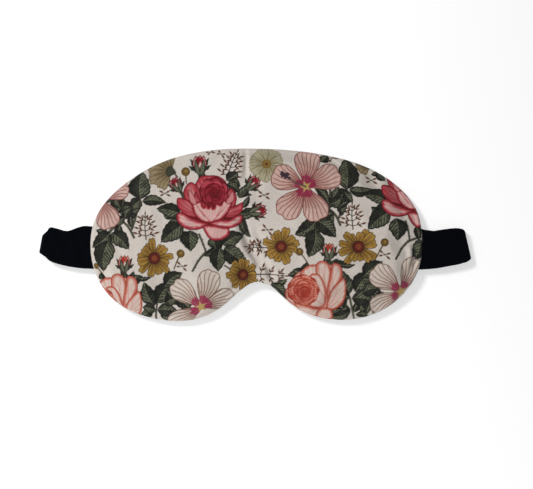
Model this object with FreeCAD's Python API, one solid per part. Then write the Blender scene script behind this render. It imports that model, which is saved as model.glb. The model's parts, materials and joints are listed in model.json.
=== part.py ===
import FreeCAD, Part
import math
import os

V = FreeCAD.Vector
os.makedirs("parts", exist_ok=True)

# ---------------------------------------------------------------------------
# Contoured sleep mask with a fabric-covered elastic head strap, lying flat and
# face up, with the strap folded flat beneath it.  Millimetres, +Z up out of
# the printed face, +X towards the wearer's left, +Y towards the forehead,
# origin at the middle of the footprint on the table.
# ---------------------------------------------------------------------------

# mask body
MASK_Z0 = 2.9            # underside of the back panel
MASK_Z1 = 11.4           # crown of the padded front
SEAM_Z = 4.6             # plane of the edge seam
SKIN = 0.6               # front and edge cloth with its turnings
BACK_SKIN = 0.4          # back panel cloth
ROUND_TOP = 5.5          # padded roll round the front edge
ROUND_BOTTOM = 1.2
TURNING = 6.0            # width of the seam allowance turned inside
TURNING_T = 0.4
PAD_GAP = 0.1            # between cloth and padding
HALF_GAP = 0.25          # each side of the nose bridge line
THREAD_INSET = 1.4
THREAD_W = 0.5

# strap
STRAP_W = 25.0
STRAP_T = 2.4            # cloth casing, outside
CASING_WALL = 0.6
ELASTIC_W = 20.0
ELASTIC_T = 1.0
ELASTIC_PLAY = 0.1
STRAP_Y = -8.8           # centre line of the strap
CENTRE_HALF = 20.0       # half length of the strap's centre piece
JOIN_GAP = 0.15
FOLD_X = 133.7           # axis of the fold at each side
FOLD_Z = 2.9
FOLD_R = 0.5             # inside radius of the fold
TAB_Z = 3.4              # underside of the upper layer
TAB_END_LEFT = 105.85    # where the upper layer meets the mask's edge
TAB_END_RIGHT = 105.85
STRAP_IN = 95.0          # how far in the sewn strap end reaches
POCKET_PLAY = 0.1

# edge line of the mask, clockwise from the left end
EDGE = [(-105.3, -7.8), (-104.3, 3.6), (-100.2, 14.3), (-93.4, 23.5),
        (-85.0, 31.3), (-75.7, 38.0), (-65.7, 43.6), (-55.0, 48.0),
        (-44.0, 51.1), (-32.7, 53.2), (-21.3, 54.4), (-9.8, 54.8),
        (1.6, 54.7), (13.1, 54.3), (24.5, 53.4), (35.9, 52.0),
        (47.2, 49.9), (58.4, 47.2), (69.2, 43.3), (79.5, 38.2),
        (88.8, 31.6), (96.8, 23.4), (102.5, 13.5), (104.9, 2.3),
        (105.2, -9.2), (103.4, -20.5), (98.6, -30.9), (91.4, -39.8),
        (82.3, -46.8), (71.9, -51.5), (60.7, -53.9), (49.2, -54.0),
        (37.9, -51.9), (27.4, -47.5), (18.1, -40.9), (9.7, -33.0),
        (-1.1, -30.2), (-10.8, -36.0), (-19.3, -43.7), (-28.8, -50.1),
        (-39.6, -53.9), (-51.0, -54.9), (-62.5, -53.8), (-73.6, -50.9),
        (-84.0, -46.1), (-93.0, -39.1), (-99.7, -29.8), (-103.8, -19.1)]


def spline(points):
    c = Part.BSplineCurve()
    c.interpolate(Points=[V(x, y, 0) for x, y in points], PeriodicFlag=True)
    return c


BASE = spline(EDGE)


def outline(inset):
    """Edge line moved inwards by inset."""
    if inset == 0:
        return BASE
    pts = []
    for x, y in EDGE:
        t = BASE.tangent(BASE.parameter(V(x, y, 0)))[0]
        n = V(t.y, -t.x, 0)
        n.normalize()
        pts.append((x + n.x * inset, y + n.y * inset))
    return spline(pts)


def slab(inset, z0, z1):
    """Prism on the edge line moved inwards."""
    c = outline(inset).copy()
    c.translate(V(0, 0, z0))
    return Part.Face(Part.Wire(c.toShape())).extrude(V(0, 0, z1 - z0))


def ring_edge(shape, z):
    for e in shape.Edges:
        b = e.BoundBox
        if abs(b.ZMin - z) < 1e-3 and abs(b.ZMax - z) < 1e-3:
            return e
    raise ValueError("no edge at z=%g" % z)


def cushion(inset, z0, z1, r_top, r_bottom):
    """Slab with a rolled top edge and a smaller rolled bottom edge."""
    s = slab(inset, z0, z1)
    if r_top > 0:
        s = s.makeFillet(r_top, [ring_edge(s, z1)])
    if r_bottom > 0:
        s = s.makeFillet(r_bottom, [ring_edge(s, z0)])
    return s


def box(x0, x1, y0, y1, z0, z1):
    return Part.makeBox(x1 - x0, y1 - y0, z1 - z0, V(x0, y0, z0))


def half(shape, side):
    """side -1 keeps the wearer's right half (-X), +1 the other."""
    big = 200.0
    if side < 0:
        k = box(-big, -HALF_GAP, -big, big, -5, 30)
    else:
        k = box(HALF_GAP, big, -big, big, -5, 30)
    return shape.common(k)


def single(shape):
    sols = shape.Solids
    if len(sols) == 1:
        return sols[0]
    return Part.makeCompound(sols)


NODES = {}


def put(name, shape):
    shape = single(shape)
    assert shape.Volume > 0 and shape.isValid(), name
    NODES[name] = shape


# --- strap cross-section helpers -------------------------------------------
def casing_run(x0, x1, z0):
    outer = box(x0, x1, STRAP_Y - STRAP_W / 2, STRAP_Y + STRAP_W / 2,
                z0, z0 + STRAP_T)
    e = ELASTIC_W / 2 + 2 * ELASTIC_PLAY
    inner = box(x0 - 1, x1 + 1, STRAP_Y - e, STRAP_Y + e,
                z0 + CASING_WALL, z0 + STRAP_T - CASING_WALL)
    outer = outer.makeFillet(0.9, [ed for ed in outer.Edges
                                   if abs(ed.Length - (x1 - x0)) < 1e-6])
    return outer.cut(inner)


def elastic_run(x0, x1, z0):
    zm = z0 + STRAP_T / 2
    return box(x0, x1, STRAP_Y - ELASTIC_W / 2, STRAP_Y + ELASTIC_W / 2,
               zm - ELASTIC_T / 2, zm + ELASTIC_T / 2)


def half_tube(r0, r1, w, side):
    """Half annulus about the fold axis, open side towards the mask."""
    ax = V(side * FOLD_X, STRAP_Y - w / 2, FOLD_Z)
    a = Part.makeCylinder(r1, w, ax, V(0, 1, 0))
    b = Part.makeCylinder(r0, w + 2, ax - V(0, 1, 0), V(0, 1, 0))
    ring = a.cut(b)
    if side < 0:
        k = box(-FOLD_X - 10, -FOLD_X, STRAP_Y - 40, STRAP_Y + 40, -10, 20)
    else:
        k = box(FOLD_X, FOLD_X + 10, STRAP_Y - 40, STRAP_Y + 40, -10, 20)
    return ring.common(k)


# --- strap: centre, runs, folds, upper layers --------------------------------
put("strap_back_casing", casing_run(-CENTRE_HALF + JOIN_GAP,
                                    CENTRE_HALF - JOIN_GAP, 0))
put("strap_back_elastic", elastic_run(-CENTRE_HALF + JOIN_GAP,
                                      CENTRE_HALF - JOIN_GAP, 0))
for side, name in ((-1, "left"), (1, "right")):
    a, b = CENTRE_HALF + JOIN_GAP, FOLD_X - 0.02
    x0, x1 = sorted((side * a, side * b))
    put("strap_%s_run_casing" % name, casing_run(x0, x1, 0))
    put("strap_%s_run_elastic" % name, elastic_run(x0, x1, 0))

    r_out = FOLD_R + STRAP_T
    shell = half_tube(FOLD_R, r_out, STRAP_W, side)
    void = half_tube(FOLD_R + CASING_WALL, r_out - CASING_WALL,
                     ELASTIC_W + 4 * ELASTIC_PLAY, side)
    put("strap_%s_fold_casing" % name, shell.cut(void))
    put("strap_%s_fold_elastic" % name,
        half_tube(FOLD_R + CASING_WALL + ELASTIC_PLAY,
                  r_out - CASING_WALL - ELASTIC_PLAY, ELASTIC_W, side))

    end = TAB_END_LEFT if side < 0 else TAB_END_RIGHT
    x0, x1 = sorted((side * end, side * (FOLD_X - 0.2)))
    put("strap_%s_side_casing" % name, casing_run(x0, x1, TAB_Z))
    put("strap_%s_side_elastic" % name, elastic_run(x0, x1, TAB_Z))

# --- mask body ---------------------------------------------------------------
ft = SEAM_Z + TURNING_T              # inner faces of the two turnings
bt = SEAM_Z - TURNING_T
opening = slab(SKIN + TURNING, MASK_Z0 + BACK_SKIN + 0.2, MASK_Z1 - 3.0)
front = cushion(0, SEAM_Z, MASK_Z1, ROUND_TOP, 0)
front = front.cut(cushion(SKIN, ft, MASK_Z1 - SKIN, ROUND_TOP - SKIN + 0.1, 0))
front = front.cut(opening)
back = cushion(0, MASK_Z0, SEAM_Z, 0, ROUND_BOTTOM)
back = back.cut(slab(SKIN, MASK_Z0 + BACK_SKIN, bt)).cut(opening)

thread_z0 = ft + 0.02
thread_z1 = thread_z0 + 0.23
thread = slab(THREAD_INSET, thread_z0, thread_z1).cut(
    slab(THREAD_INSET + THREAD_W, thread_z0 - 1, thread_z1 + 1))

pad_front = cushion(SKIN + PAD_GAP, thread_z1 + 0.05, MASK_Z1 - SKIN - PAD_GAP,
                    ROUND_TOP - SKIN, 0)
pad_back = slab(SKIN + PAD_GAP, MASK_Z0 + BACK_SKIN + 0.05, bt - 0.05)
lining = slab(SKIN + TURNING + 0.6, SEAM_Z - TURNING_T, thread_z1 - 0.03)

for side, name in ((-1, "left"), (1, "right")):
    s0, s1 = sorted((side * (STRAP_IN - POCKET_PLAY), side * 112.0))
    w = STRAP_W / 2 + POCKET_PLAY
    pocket = box(s0, s1, STRAP_Y - w, STRAP_Y + w,
                 TAB_Z - 0.05, TAB_Z + STRAP_T + 0.05)
    tack_zone = box(s0, s1, STRAP_Y - w, STRAP_Y + w,
                    TAB_Z, TAB_Z + STRAP_T + 0.45)
    put("front_panel_%s" % name, half(front, side).cut(pocket))
    put("back_panel_%s" % name, half(back, side).cut(pocket))
    put("padding_front_%s" % name,
        half(pad_front, side).cut(pocket).cut(tack_zone))
    put("padding_back_%s" % name, half(pad_back, side).cut(pocket))
    put("blackout_lining_%s" % name, half(lining, side).cut(pocket))
    put("seam_thread_%s" % name, half(thread, side).cut(pocket))

    a, b = STRAP_IN, 103.3
    x0, x1 = sorted((side * a, side * b))
    put("strap_end_casing_%s" % name, casing_run(x0, x1, TAB_Z))
    put("strap_end_elastic_%s" % name, elastic_run(x0, x1, TAB_Z))
    rows = []
    for k in (0, 1, 2):
        xr = side * (96.2 + 2.4 * k)
        rows.append(box(xr - 0.3, xr + 0.3, STRAP_Y - 10.5, STRAP_Y + 10.5,
                        TAB_Z + STRAP_T + 0.05, TAB_Z + STRAP_T + 0.35))
    put("strap_tack_%s" % name, Part.makeCompound(rows))

for name, shape in sorted(NODES.items()):
    shape.exportStep("parts/%s.step" % name)
    bb = shape.BoundBox
    print("%-26s %d solid(s) %9.1f mm3  x %7.2f %7.2f  y %7.2f %7.2f  z %6.2f %6.2f"
          % (name, len(shape.Solids), shape.Volume, bb.XMin, bb.XMax,
             bb.YMin, bb.YMax, bb.ZMin, bb.ZMax))
print(len(NODES), "nodes")
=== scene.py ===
import math
import bpy
import numpy as np
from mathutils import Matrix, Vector
from mathutils.geometry import delaunay_2d_cdt
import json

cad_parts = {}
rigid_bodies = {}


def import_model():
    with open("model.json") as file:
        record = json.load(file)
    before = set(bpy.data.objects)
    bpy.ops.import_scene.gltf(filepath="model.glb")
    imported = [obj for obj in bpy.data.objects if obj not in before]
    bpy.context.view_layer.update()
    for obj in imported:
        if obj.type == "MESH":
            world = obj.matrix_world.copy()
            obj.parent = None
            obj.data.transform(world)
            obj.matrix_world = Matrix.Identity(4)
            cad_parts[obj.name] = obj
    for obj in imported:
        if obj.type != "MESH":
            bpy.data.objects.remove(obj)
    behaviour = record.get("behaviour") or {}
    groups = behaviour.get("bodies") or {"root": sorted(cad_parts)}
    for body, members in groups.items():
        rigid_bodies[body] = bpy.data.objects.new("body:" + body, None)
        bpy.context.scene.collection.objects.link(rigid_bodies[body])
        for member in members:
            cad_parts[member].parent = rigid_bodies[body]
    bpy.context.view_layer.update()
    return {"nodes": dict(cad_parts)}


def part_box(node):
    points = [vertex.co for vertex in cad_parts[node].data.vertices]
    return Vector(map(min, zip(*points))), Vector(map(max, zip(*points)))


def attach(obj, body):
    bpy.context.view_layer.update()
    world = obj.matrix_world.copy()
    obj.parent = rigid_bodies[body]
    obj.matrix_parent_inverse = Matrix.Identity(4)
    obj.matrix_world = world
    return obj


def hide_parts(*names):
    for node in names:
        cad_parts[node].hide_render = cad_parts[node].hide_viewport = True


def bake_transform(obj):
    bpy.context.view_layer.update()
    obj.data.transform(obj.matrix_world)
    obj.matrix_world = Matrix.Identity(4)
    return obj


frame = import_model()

MM = 0.001

# The sleep mask lies face up on a white table with its strap folded flat
# beneath. Lengths in this script are millimetres until a mesh is made.

BACK = [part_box(f"back_panel_{s}") for s in ("left", "right")]
FRONT = [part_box(f"front_panel_{s}") for s in ("left", "right")]
FOLD = {s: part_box(f"strap_{s}_fold_casing") for s in ("left", "right")}
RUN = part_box("strap_back_casing")
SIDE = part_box("strap_left_side_casing")

Z_BACK = BACK[0][0][2] / MM            # underside of the mask
Z_TOP = FRONT[0][1][2] / MM            # top of the CAD cushion
Z_SEAM = FRONT[0][0][2] / MM           # where front and back are sewn together
STRAP_Y = (RUN[0][1] + RUN[1][1]) / 2 / MM
STRAP_W = (RUN[1][1] - RUN[0][1]) / MM
STRAP_T = (RUN[1][2] - RUN[0][2]) / MM
Z_LOW = RUN[1][2] / MM - STRAP_T / 2     # middle of the lower layer
Z_HIGH = SIDE[0][2] / MM + STRAP_T / 2   # middle of the upper layer
Z_FOLD = (Z_LOW + Z_HIGH) / 2
R_FOLD = (Z_HIGH - Z_LOW) / 2

# edge line of the mask, as in part.py, clockwise from the left end
EDGE = [(-105.3, -7.8), (-104.3, 3.6), (-100.2, 14.3), (-93.4, 23.5),
        (-85.0, 31.3), (-75.7, 38.0), (-65.7, 43.6), (-55.0, 48.0),
        (-44.0, 51.1), (-32.7, 53.2), (-21.3, 54.4), (-9.8, 54.8),
        (1.6, 54.7), (13.1, 54.3), (24.5, 53.4), (35.9, 52.0),
        (47.2, 49.9), (58.4, 47.2), (69.2, 43.3), (79.5, 38.2),
        (88.8, 31.6), (96.8, 23.4), (102.5, 13.5), (104.9, 2.3),
        (105.2, -9.2), (103.4, -20.5), (98.6, -30.9), (91.4, -39.8),
        (82.3, -46.8), (71.9, -51.5), (60.7, -53.9), (49.2, -54.0),
        (37.9, -51.9), (27.4, -47.5), (18.1, -40.9), (9.7, -33.0),
        (-1.1, -30.2), (-10.8, -36.0), (-19.3, -43.7), (-28.8, -50.1),
        (-39.6, -53.9), (-51.0, -54.9), (-62.5, -53.8), (-73.6, -50.9),
        (-84.0, -46.1), (-93.0, -39.1), (-99.7, -29.8), (-103.8, -19.1)]
HUB = np.array([0.0, 5.0])     # every point of the edge can be seen from here
# ---------------------------------------------------------------- painting --
# The cloth's print: generic garden flowers drawn from formulas in millimetres
# on the flat cloth, and kept as a colour at every vertex of the front panel.

AA = 0.30       # softness of an edge, about one vertex


def curve(points, closed=False, n=8):
    """Catmull-Rom line through the points."""
    p = np.asarray(points, float)
    k = len(p)
    out = []
    for i in range(k if closed else k - 1):
        if closed:
            a, b, c, d = p[i - 1], p[i], p[(i + 1) % k], p[(i + 2) % k]
        else:
            b, c = p[i], p[i + 1]
            a = p[i - 1] if i else 2 * b - c
            d = p[i + 2] if i + 2 < k else 2 * c - b
        t = (np.arange(n) / n)[:, None]
        out.append(0.5 * (2 * b + (c - a) * t + (2 * a - 5 * b + 4 * c - d) * t ** 2
                          + (3 * b - a - 3 * c + d) * t ** 3))
    if not closed:
        out.append(p[-1:])
    return np.vstack(out)


def noise(q, cell, seed=0):
    """Smooth value noise, 0 to 1."""
    g = q / cell
    i = np.floor(g).astype(np.int64)
    f = g - i
    f = f * f * (3 - 2 * f)

    def h(dx, dy):
        n = (i[:, 0] + dx) * 374761393 + (i[:, 1] + dy) * 668265263 + seed * 1442695
        n = (n ^ (n >> 13)) * 1274126177
        return ((n ^ (n >> 16)) & 0xffff) / 65535.0
    a = h(0, 0) * (1 - f[:, 0]) + h(1, 0) * f[:, 0]
    b = h(0, 1) * (1 - f[:, 0]) + h(1, 1) * f[:, 0]
    return a * (1 - f[:, 1]) + b * f[:, 1]


def sd_poly(q, v):
    """Signed distance to a closed polygon, negative inside."""
    a, b = v, np.roll(v, -1, 0)
    e = b - a
    ee = np.maximum((e * e).sum(1), 1e-12)
    w = q[:, None, :] - a[None]
    t = np.clip((w * e).sum(2) / ee, 0, 1)
    d = w - t[..., None] * e
    dist = np.sqrt((d * d).sum(2).min(1))
    y = q[:, 1][:, None]
    ey = np.where(np.abs(e[:, 1]) < 1e-12, 1e-12, e[:, 1])
    cross = ((y >= a[:, 1]) != (y >= b[:, 1])) & (
        q[:, 0][:, None] < e[:, 0] * (y - a[:, 1]) / ey + a[:, 0])
    return np.where(cross.sum(1) % 2 == 1, -dist, dist)


def sd_line(q, v, w0, w1):
    """Signed distance to a line of width w0 to w1."""
    a, b = v[:-1], v[1:]
    e = b - a
    ee = np.maximum((e * e).sum(1), 1e-12)
    w = q[:, None, :] - a[None]
    t = np.clip((w * e).sum(2) / ee, 0, 1)
    d = w - t[..., None] * e
    dist = np.sqrt((d * d).sum(2))
    k = dist.argmin(1)
    r = np.arange(len(q))
    s = (k + t[r, k]) / len(a)
    return dist[r, k] - (w0 + (w1 - w0) * s) / 2


def mix(a, b, t):
    t = np.clip(np.asarray(t, float), 0, 1)[..., None]
    return np.asarray(a, float) * (1 - t) + np.asarray(b, float) * t


def step(x, lo, hi):
    t = np.clip((x - lo) / (hi - lo), 0, 1)
    return t * t * (3 - 2 * t)


class Patch:
    """The part of the cloth near one motif, in the motif's own frame."""

    def __init__(self, cloth, x, y, reach, turn=0.0, size=1.0, flip=1):
        d = cloth.p - (x, y)
        self.i = np.nonzero((np.abs(d[:, 0]) < reach) & (np.abs(d[:, 1]) < reach))[0]
        c, s = math.cos(math.radians(turn)), math.sin(math.radians(turn))
        d = d[self.i]
        self.q = np.stack([(d[:, 0] * c + d[:, 1] * s),
                           (-d[:, 0] * s + d[:, 1] * c) * flip], 1) / size
        self.cloth, self.size = cloth, size

    def _box(self, v, pad):
        lo, hi = v.min(0) - pad, v.max(0) + pad
        q = self.q
        return np.nonzero((q[:, 0] > lo[0]) & (q[:, 0] < hi[0])
                          & (q[:, 1] > lo[1]) & (q[:, 1] < hi[1]))[0]

    def _lay(self, k, cover, colour):
        j = self.i[k]
        col = colour(self.q[k]) if callable(colour) else np.asarray(colour, float)
        a = np.clip(cover, 0, 1)[:, None]
        self.cloth.c[j] = self.cloth.c[j] * (1 - a) + col * a

    def fill(self, v, colour, opacity=1.0, line=None, width=0.3):
        v = np.asarray(v, float)
        k = self._box(v, 1.0 / self.size)
        if not len(k):
            return
        sd = sd_poly(self.q[k], v) * self.size
        if callable(colour):
            f = colour
            colour = lambda q, sd=sd: f(q, sd)
        self._lay(k, np.clip(0.5 - sd / AA, 0, 1) * opacity, colour)
        if line is not None:
            self._lay(k, np.clip(0.5 - (np.abs(sd + width * 0.35) - width / 2) / AA, 0, 1), line)

    def stroke(self, v, w0, w1, colour, opacity=1.0):
        v = np.asarray(v, float)
        k = self._box(v, (max(w0, w1) + 0.6) / self.size)
        if not len(k):
            return
        sd = sd_line(self.q[k] * self.size, v * self.size, w0, w1)
        self._lay(k, np.clip(0.5 - sd / AA, 0, 1) * opacity, colour)

    def dot(self, x, y, r, colour, line=None, width=0.3):
        t = np.linspace(0, 2 * math.pi, 20, endpoint=False)
        self.fill(np.stack([x + r * np.cos(t), y + r * np.sin(t)], 1), colour,
                  line=line, width=width)


class Cloth:
    def __init__(self, points, ground):
        self.p = np.asarray(points, float)
        self.c = np.empty((len(self.p), 3))
        self.c[:] = ground

    def at(self, x, y, reach, turn=0.0, size=1.0, flip=1):
        return Patch(self, x, y, reach, turn, size, flip)


# ------------------------------------------------------------------ motifs --
LEAF = dict(dark=(27, 28, 21), mid=(66, 69, 54), light=(134, 135, 113), line=(17, 16, 11))
ROSE = dict(deep=(132, 16, 32), mid=(178, 72, 80), pale=(214, 178, 172), line=(92, 10, 22))
CORAL = dict(deep=(166, 60, 42), mid=(190, 122, 106), pale=(206, 186, 176), line=(142, 50, 36))
MUSTARD = dict(deep=(92, 68, 28), mid=(146, 112, 50), pale=(172, 138, 68), line=(58, 42, 18))
PINK = dict(deep=(142, 40, 72), mid=(180, 138, 128), pale=(204, 174, 164), line=(112, 64, 60))
CREAM = dict(deep=(150, 50, 82), mid=(190, 172, 160), pale=(208, 196, 186), line=(104, 76, 62))
BROWN = (98, 56, 32)
DARK = (40, 28, 20)


def leaf(p, x, y, turn, length, wide=0.5, teeth=7, pal=LEAF, flip=1):
    """A toothed leaf from its stalk end."""
    s = Patch(p, x, y, length * 1.15, turn, 1.0, flip)
    rng = np.random.RandomState(int(abs(x * 7 + y * 13)) % 9973)
    t = np.linspace(0, 1, 29)
    tip = np.clip(1 - ((t - .86) / .14).clip(0, 1) ** 1.2, 0, 1)
    h = wide * length * 0.5 * np.sin(np.pi * np.clip(t / .97, 0, 1) ** 0.74) ** 0.9 * (0.25 + 0.75 * tip ** .5)
    saw = np.abs(np.sin(np.pi * (t * teeth * 0.7 + rng.uniform(0, 1)))) * 0.10 * wide * length * 0.5 * (t > 0.12) * (t < 0.95)
    sway = rng.uniform(.03, .13) * (1 if rng.uniform() > .4 else -1)
    bend = sway * length * np.sin(np.pi * t)
    up = np.stack([t * length, bend + h + saw], 1)
    dn = np.stack([t * length, bend - h - saw], 1)[::-1]
    v = np.vstack([up, dn[1:-1]])
    lit = 1 if rng.uniform() > .35 else -1
    veins = max(5, int(length / 2.1))

    def tone(q, sd):
        u = q[:, 0] / length
        c = q[:, 1] - sway * length * np.sin(np.pi * np.clip(u, 0, 1))
        side = (c * lit) > 0
        base = np.where(side, 0.58, 0.16) + 0.50 * (noise(q, 2.1, 5) - 0.5)
        k = (q[:, 0] - np.abs(c) * 0.95 + .18 * np.sin(c * 2.2)) / (length / veins)
        f = np.abs((k % 1.0) - 0.5) * 2
        base = base + 0.42 * step(f, 0.66, 0.94) * np.where(side, 1.0, 0.7) * step(-sd, 0.2, 1.1)
        hatch = np.abs(((q[:, 0] * .6 + c * lit * 1.25) / .62 % 1.0) - .5) * 2
        base = base - 0.34 * step(hatch, .35, .9)
        base = base - 0.42 * (1 - step(f, 0.0, 0.35)) * .6
        base = np.clip(base - 0.30 * step(-sd, 0.9, 0.1), 0, 1)
        lo = mix(pal["dark"], pal["mid"], base * 2)
        return np.where((base > 0.5)[:, None], mix(pal["mid"], pal["light"], base * 2 - 1), lo)
    s.fill(v, tone, line=pal["line"], width=0.50)
    mid = np.stack([t * length * 0.95, bend], 1)[::2]
    s.stroke(mid + (0, -.2 * lit), 0.50, 0.20, pal["line"])
    s.stroke(mid + (0, 0.16 * lit), 0.30, 0.14, pal["light"], 0.9)


def stem(p, pts, w0=0.9, w1=0.6, colour=(74, 74, 60), line=(28, 26, 20), thorns=0):
    v = curve(pts, n=6)
    c = v.mean(0)
    r = np.abs(v - c).max() + 3
    s = Patch(p, c[0], c[1], r)
    v = v - c
    if thorns:
        k = np.linspace(2, len(v) - 3, thorns).astype(int)
        for n, i in enumerate(k):
            d = v[i + 1] - v[i]
            d = d / max(np.hypot(*d), 1e-9)
            o = np.array([-d[1], d[0]]) * (1 if n % 2 else -1)
            s.fill([v[i] - d * 0.5, v[i] + o * 1.25 - d * 0.2, v[i] + d * 0.6], line)
    s.stroke(v, w0 + 0.3, w1 + 0.3, line)
    s.stroke(v, w0 - 0.12, w1 - 0.15, colour)
    s.stroke(v + (0.0, 0.1), w0 * 0.3, w1 * 0.2, (120, 120, 102), 0.6)


def petal_line(length, width, tip=0.0, ruffle=0.0, seed=0, base=0.10, point=0.0):
    """Outline of a petal from its base at the origin along +x."""
    w = width / 2
    q = [(0, base * w), (0.20 * length, 0.36 * w), (0.44 * length, 0.78 * w),
         (0.70 * length, 1.0 * w), (0.90 * length, 0.78 * w), (length * (1 - tip * 0.5), 0.36 * w * (1 - point))]
    low = [(a, -b) for a, b in q[::-1]]
    v = np.array(q + [(length * (1 - tip + point * 0.06), 0)] + low)
    v = curve(v, closed=True, n=5)
    if ruffle:
        r = np.hypot(v[:, 0], v[:, 1])
        a = np.arctan2(v[:, 1], v[:, 0])
        k = ruffle * np.sin(a * 23 + seed) * step(r / length, 0.6, 0.95)
        v = v * (1 + k)[:, None]
    return v


def petal_tone(pal, length, veins, width=0.3, seed=0, deep_base=0.25, strength=0.8, shade=0.5):
    """Colour of a petal: deep at the base, paler outwards, with fine veins."""
    def tone(q, sd):
        r = np.hypot(q[:, 0], q[:, 1]) / length
        a = np.arctan2(q[:, 1], q[:, 0])
        base = mix(pal["mid"], pal["pale"], step(r, 0.25, 0.85) + 0.5 * (noise(q, 1.8, seed) - 0.5))
        base = mix(base, pal["mid"], shade * step(-sd, 1.3, 0.0))
        if veins:
            gap = 1.25 / veins
            wob = 0.035 * np.sin(r * 9 + seed)
            d = np.abs(((a + wob) / gap + 0.5) % 1.0 - 0.5) * gap * r * length
            line = (1 - step(d, width * 0.25, width * 0.25 + 0.26)) * strength
            line = line * step(r, 0.06, 0.2) * (1 - step(r, 0.86, 1.0))
            base = mix(base, pal["line"], line)
        return mix(base, pal["deep"], 1 - step(r, deep_base * 0.5, deep_base)) if deep_base else base
    return tone


def blunt_petal(length, width, start, seed=0):
    """A narrow petal with a blunt, slightly notched end."""
    w = width / 2
    k = 0.06 * math.sin(seed * 2.7)
    v = [(start, .34 * w), (start + .3 * (length - start), .74 * w), (start + .62 * (length - start), (1.0 + k) * w),
         (length * .90, .92 * w), (length * (.985 + k * .2), .42 * w), (length * .95, 0.02 * w), (length, -.40 * w),
         (length * .91, -.90 * w), (start + .62 * (length - start), (-1.0 + k) * w),
         (start + .3 * (length - start), -.74 * w), (start, -.34 * w)]
    return curve(v, closed=True, n=5)


def daisy(p, x, y, r, turn=0, petals=11, pal=MUSTARD, seed=1):
    rng = np.random.RandomState(seed)
    s0 = Patch(p, x, y, r * 1.25)
    t = np.linspace(0, 2 * math.pi, 24, endpoint=False)
    s0.fill(np.stack([.36 * r * np.cos(t), .36 * r * np.sin(t)], 1), pal["deep"])
    order = list(range(petals))
    order = order[::2] + order[1::2]
    for k in order:
        a = turn + 360.0 * k / petals + rng.uniform(-9, 9)
        ln = r * rng.uniform(0.74, 1.10)
        s = Patch(p, x, y, r * 1.25, a)
        wide = r * rng.uniform(0.33, 0.46)
        v = blunt_petal(ln, wide, 0.16 * r, seed * 5 + k)

        def tone(q, sd, ln=ln, k=k):
            u = q[:, 0] / ln
            base = mix(pal["mid"], pal["pale"], step(u, .35, .8) * .7 + 1.1 * (noise(q, 1.5, seed + k) - .5))
            base = mix(base, pal["deep"], .60 * (1 - step(u, .25, .50)))
            for o in (-.55, 0.0, .55):
                line = (1 - step(np.abs(q[:, 1] - o * u * wide * .34), .05, .28)) * step(u, .2, .35) * (1 - step(u, .78, .95))
                base = mix(base, pal["deep"], .75 * line)
            return mix(base, pal["deep"], .35 * step(-sd, .55, 0.0))
        s.fill(v, tone, line=pal["line"], width=0.34)
    c = r * 0.29
    s0.dot(0, 0, c * 1.04, (112, 34, 26), line=(56, 18, 12), width=0.5)
    s0.dot(0, 0, c * 0.60, (142, 82, 44), line=(84, 26, 16), width=0.5)
    for k in range(13):
        a = 2 * math.pi * k / 13
        s0.dot(c * 0.82 * math.cos(a), c * 0.82 * math.sin(a), 0.34, (74, 26, 16))
    for k in range(7):
        a = 2 * math.pi * k / 7 + .3
        s0.dot(c * 0.32 * math.cos(a), c * 0.32 * math.sin(a), 0.30, (108, 50, 26))
    s0.dot(0, 0, c * 0.12, (96, 44, 24))


def pale_daisy(p, x, y, r, turn=0, petals=19, seed=2):
    rng = np.random.RandomState(seed)
    pal = dict(deep=(150, 130, 78), mid=(158, 150, 122), pale=(182, 175, 152), line=(112, 98, 66))
    for k in list(range(0, petals, 2)) + list(range(1, petals, 2)):
        a = turn + 360.0 * k / petals + rng.uniform(-4, 4)
        ln = r * rng.uniform(0.9, 1.05)
        s = Patch(p, x, y, r * 1.25, a)
        s.fill(petal_line(ln, 2 * math.pi * r / petals * 0.95, tip=0.12, base=0.5, seed=k),
               petal_tone(pal, ln, 4, 0.22, k, deep_base=0.3, strength=0.5), line=pal["line"], width=0.2)
    s = Patch(p, x, y, r)
    c = r * 0.21
    s.dot(0, 0, c, (150, 118, 52), line=(96, 70, 28), width=0.4)
    s.dot(0, 0, c * 0.45, (104, 78, 34), line=(70, 50, 22), width=0.25)


def side_daisy(p, x, y, r, turn, pal=None, spread=130, petals=8, seed=4):
    """A daisy seen from the side, petals fanned from the calyx."""
    pal = pal or dict(deep=(92, 78, 52), mid=(128, 112, 82), pale=(158, 142, 112), line=(74, 60, 38))
    rng = np.random.RandomState(seed)
    for k in range(petals):
        f = (k + 0.5) / petals - 0.5
        a = turn + spread * f
        ln = r * (0.86 + 0.2 * math.cos(f * 3)) * rng.uniform(0.93, 1.05)
        s = Patch(p, x, y, r * 1.3, a)
        s.fill(petal_line(ln, r * 0.34, tip=0.12, base=0.5, seed=k),
               petal_tone(pal, ln, 4, 0.24, k, deep_base=0.3, strength=0.6), line=pal["line"], width=0.22)
    s = Patch(p, x, y, r, turn)
    s.fill(curve([(-r * .16, r * .05), (r * .10, r * .22), (r * .22, 0), (r * .10, -r * .22), (-r * .16, -r * .05)], True, 5),
           LEAF["mid"], line=LEAF["line"], width=0.3)


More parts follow.
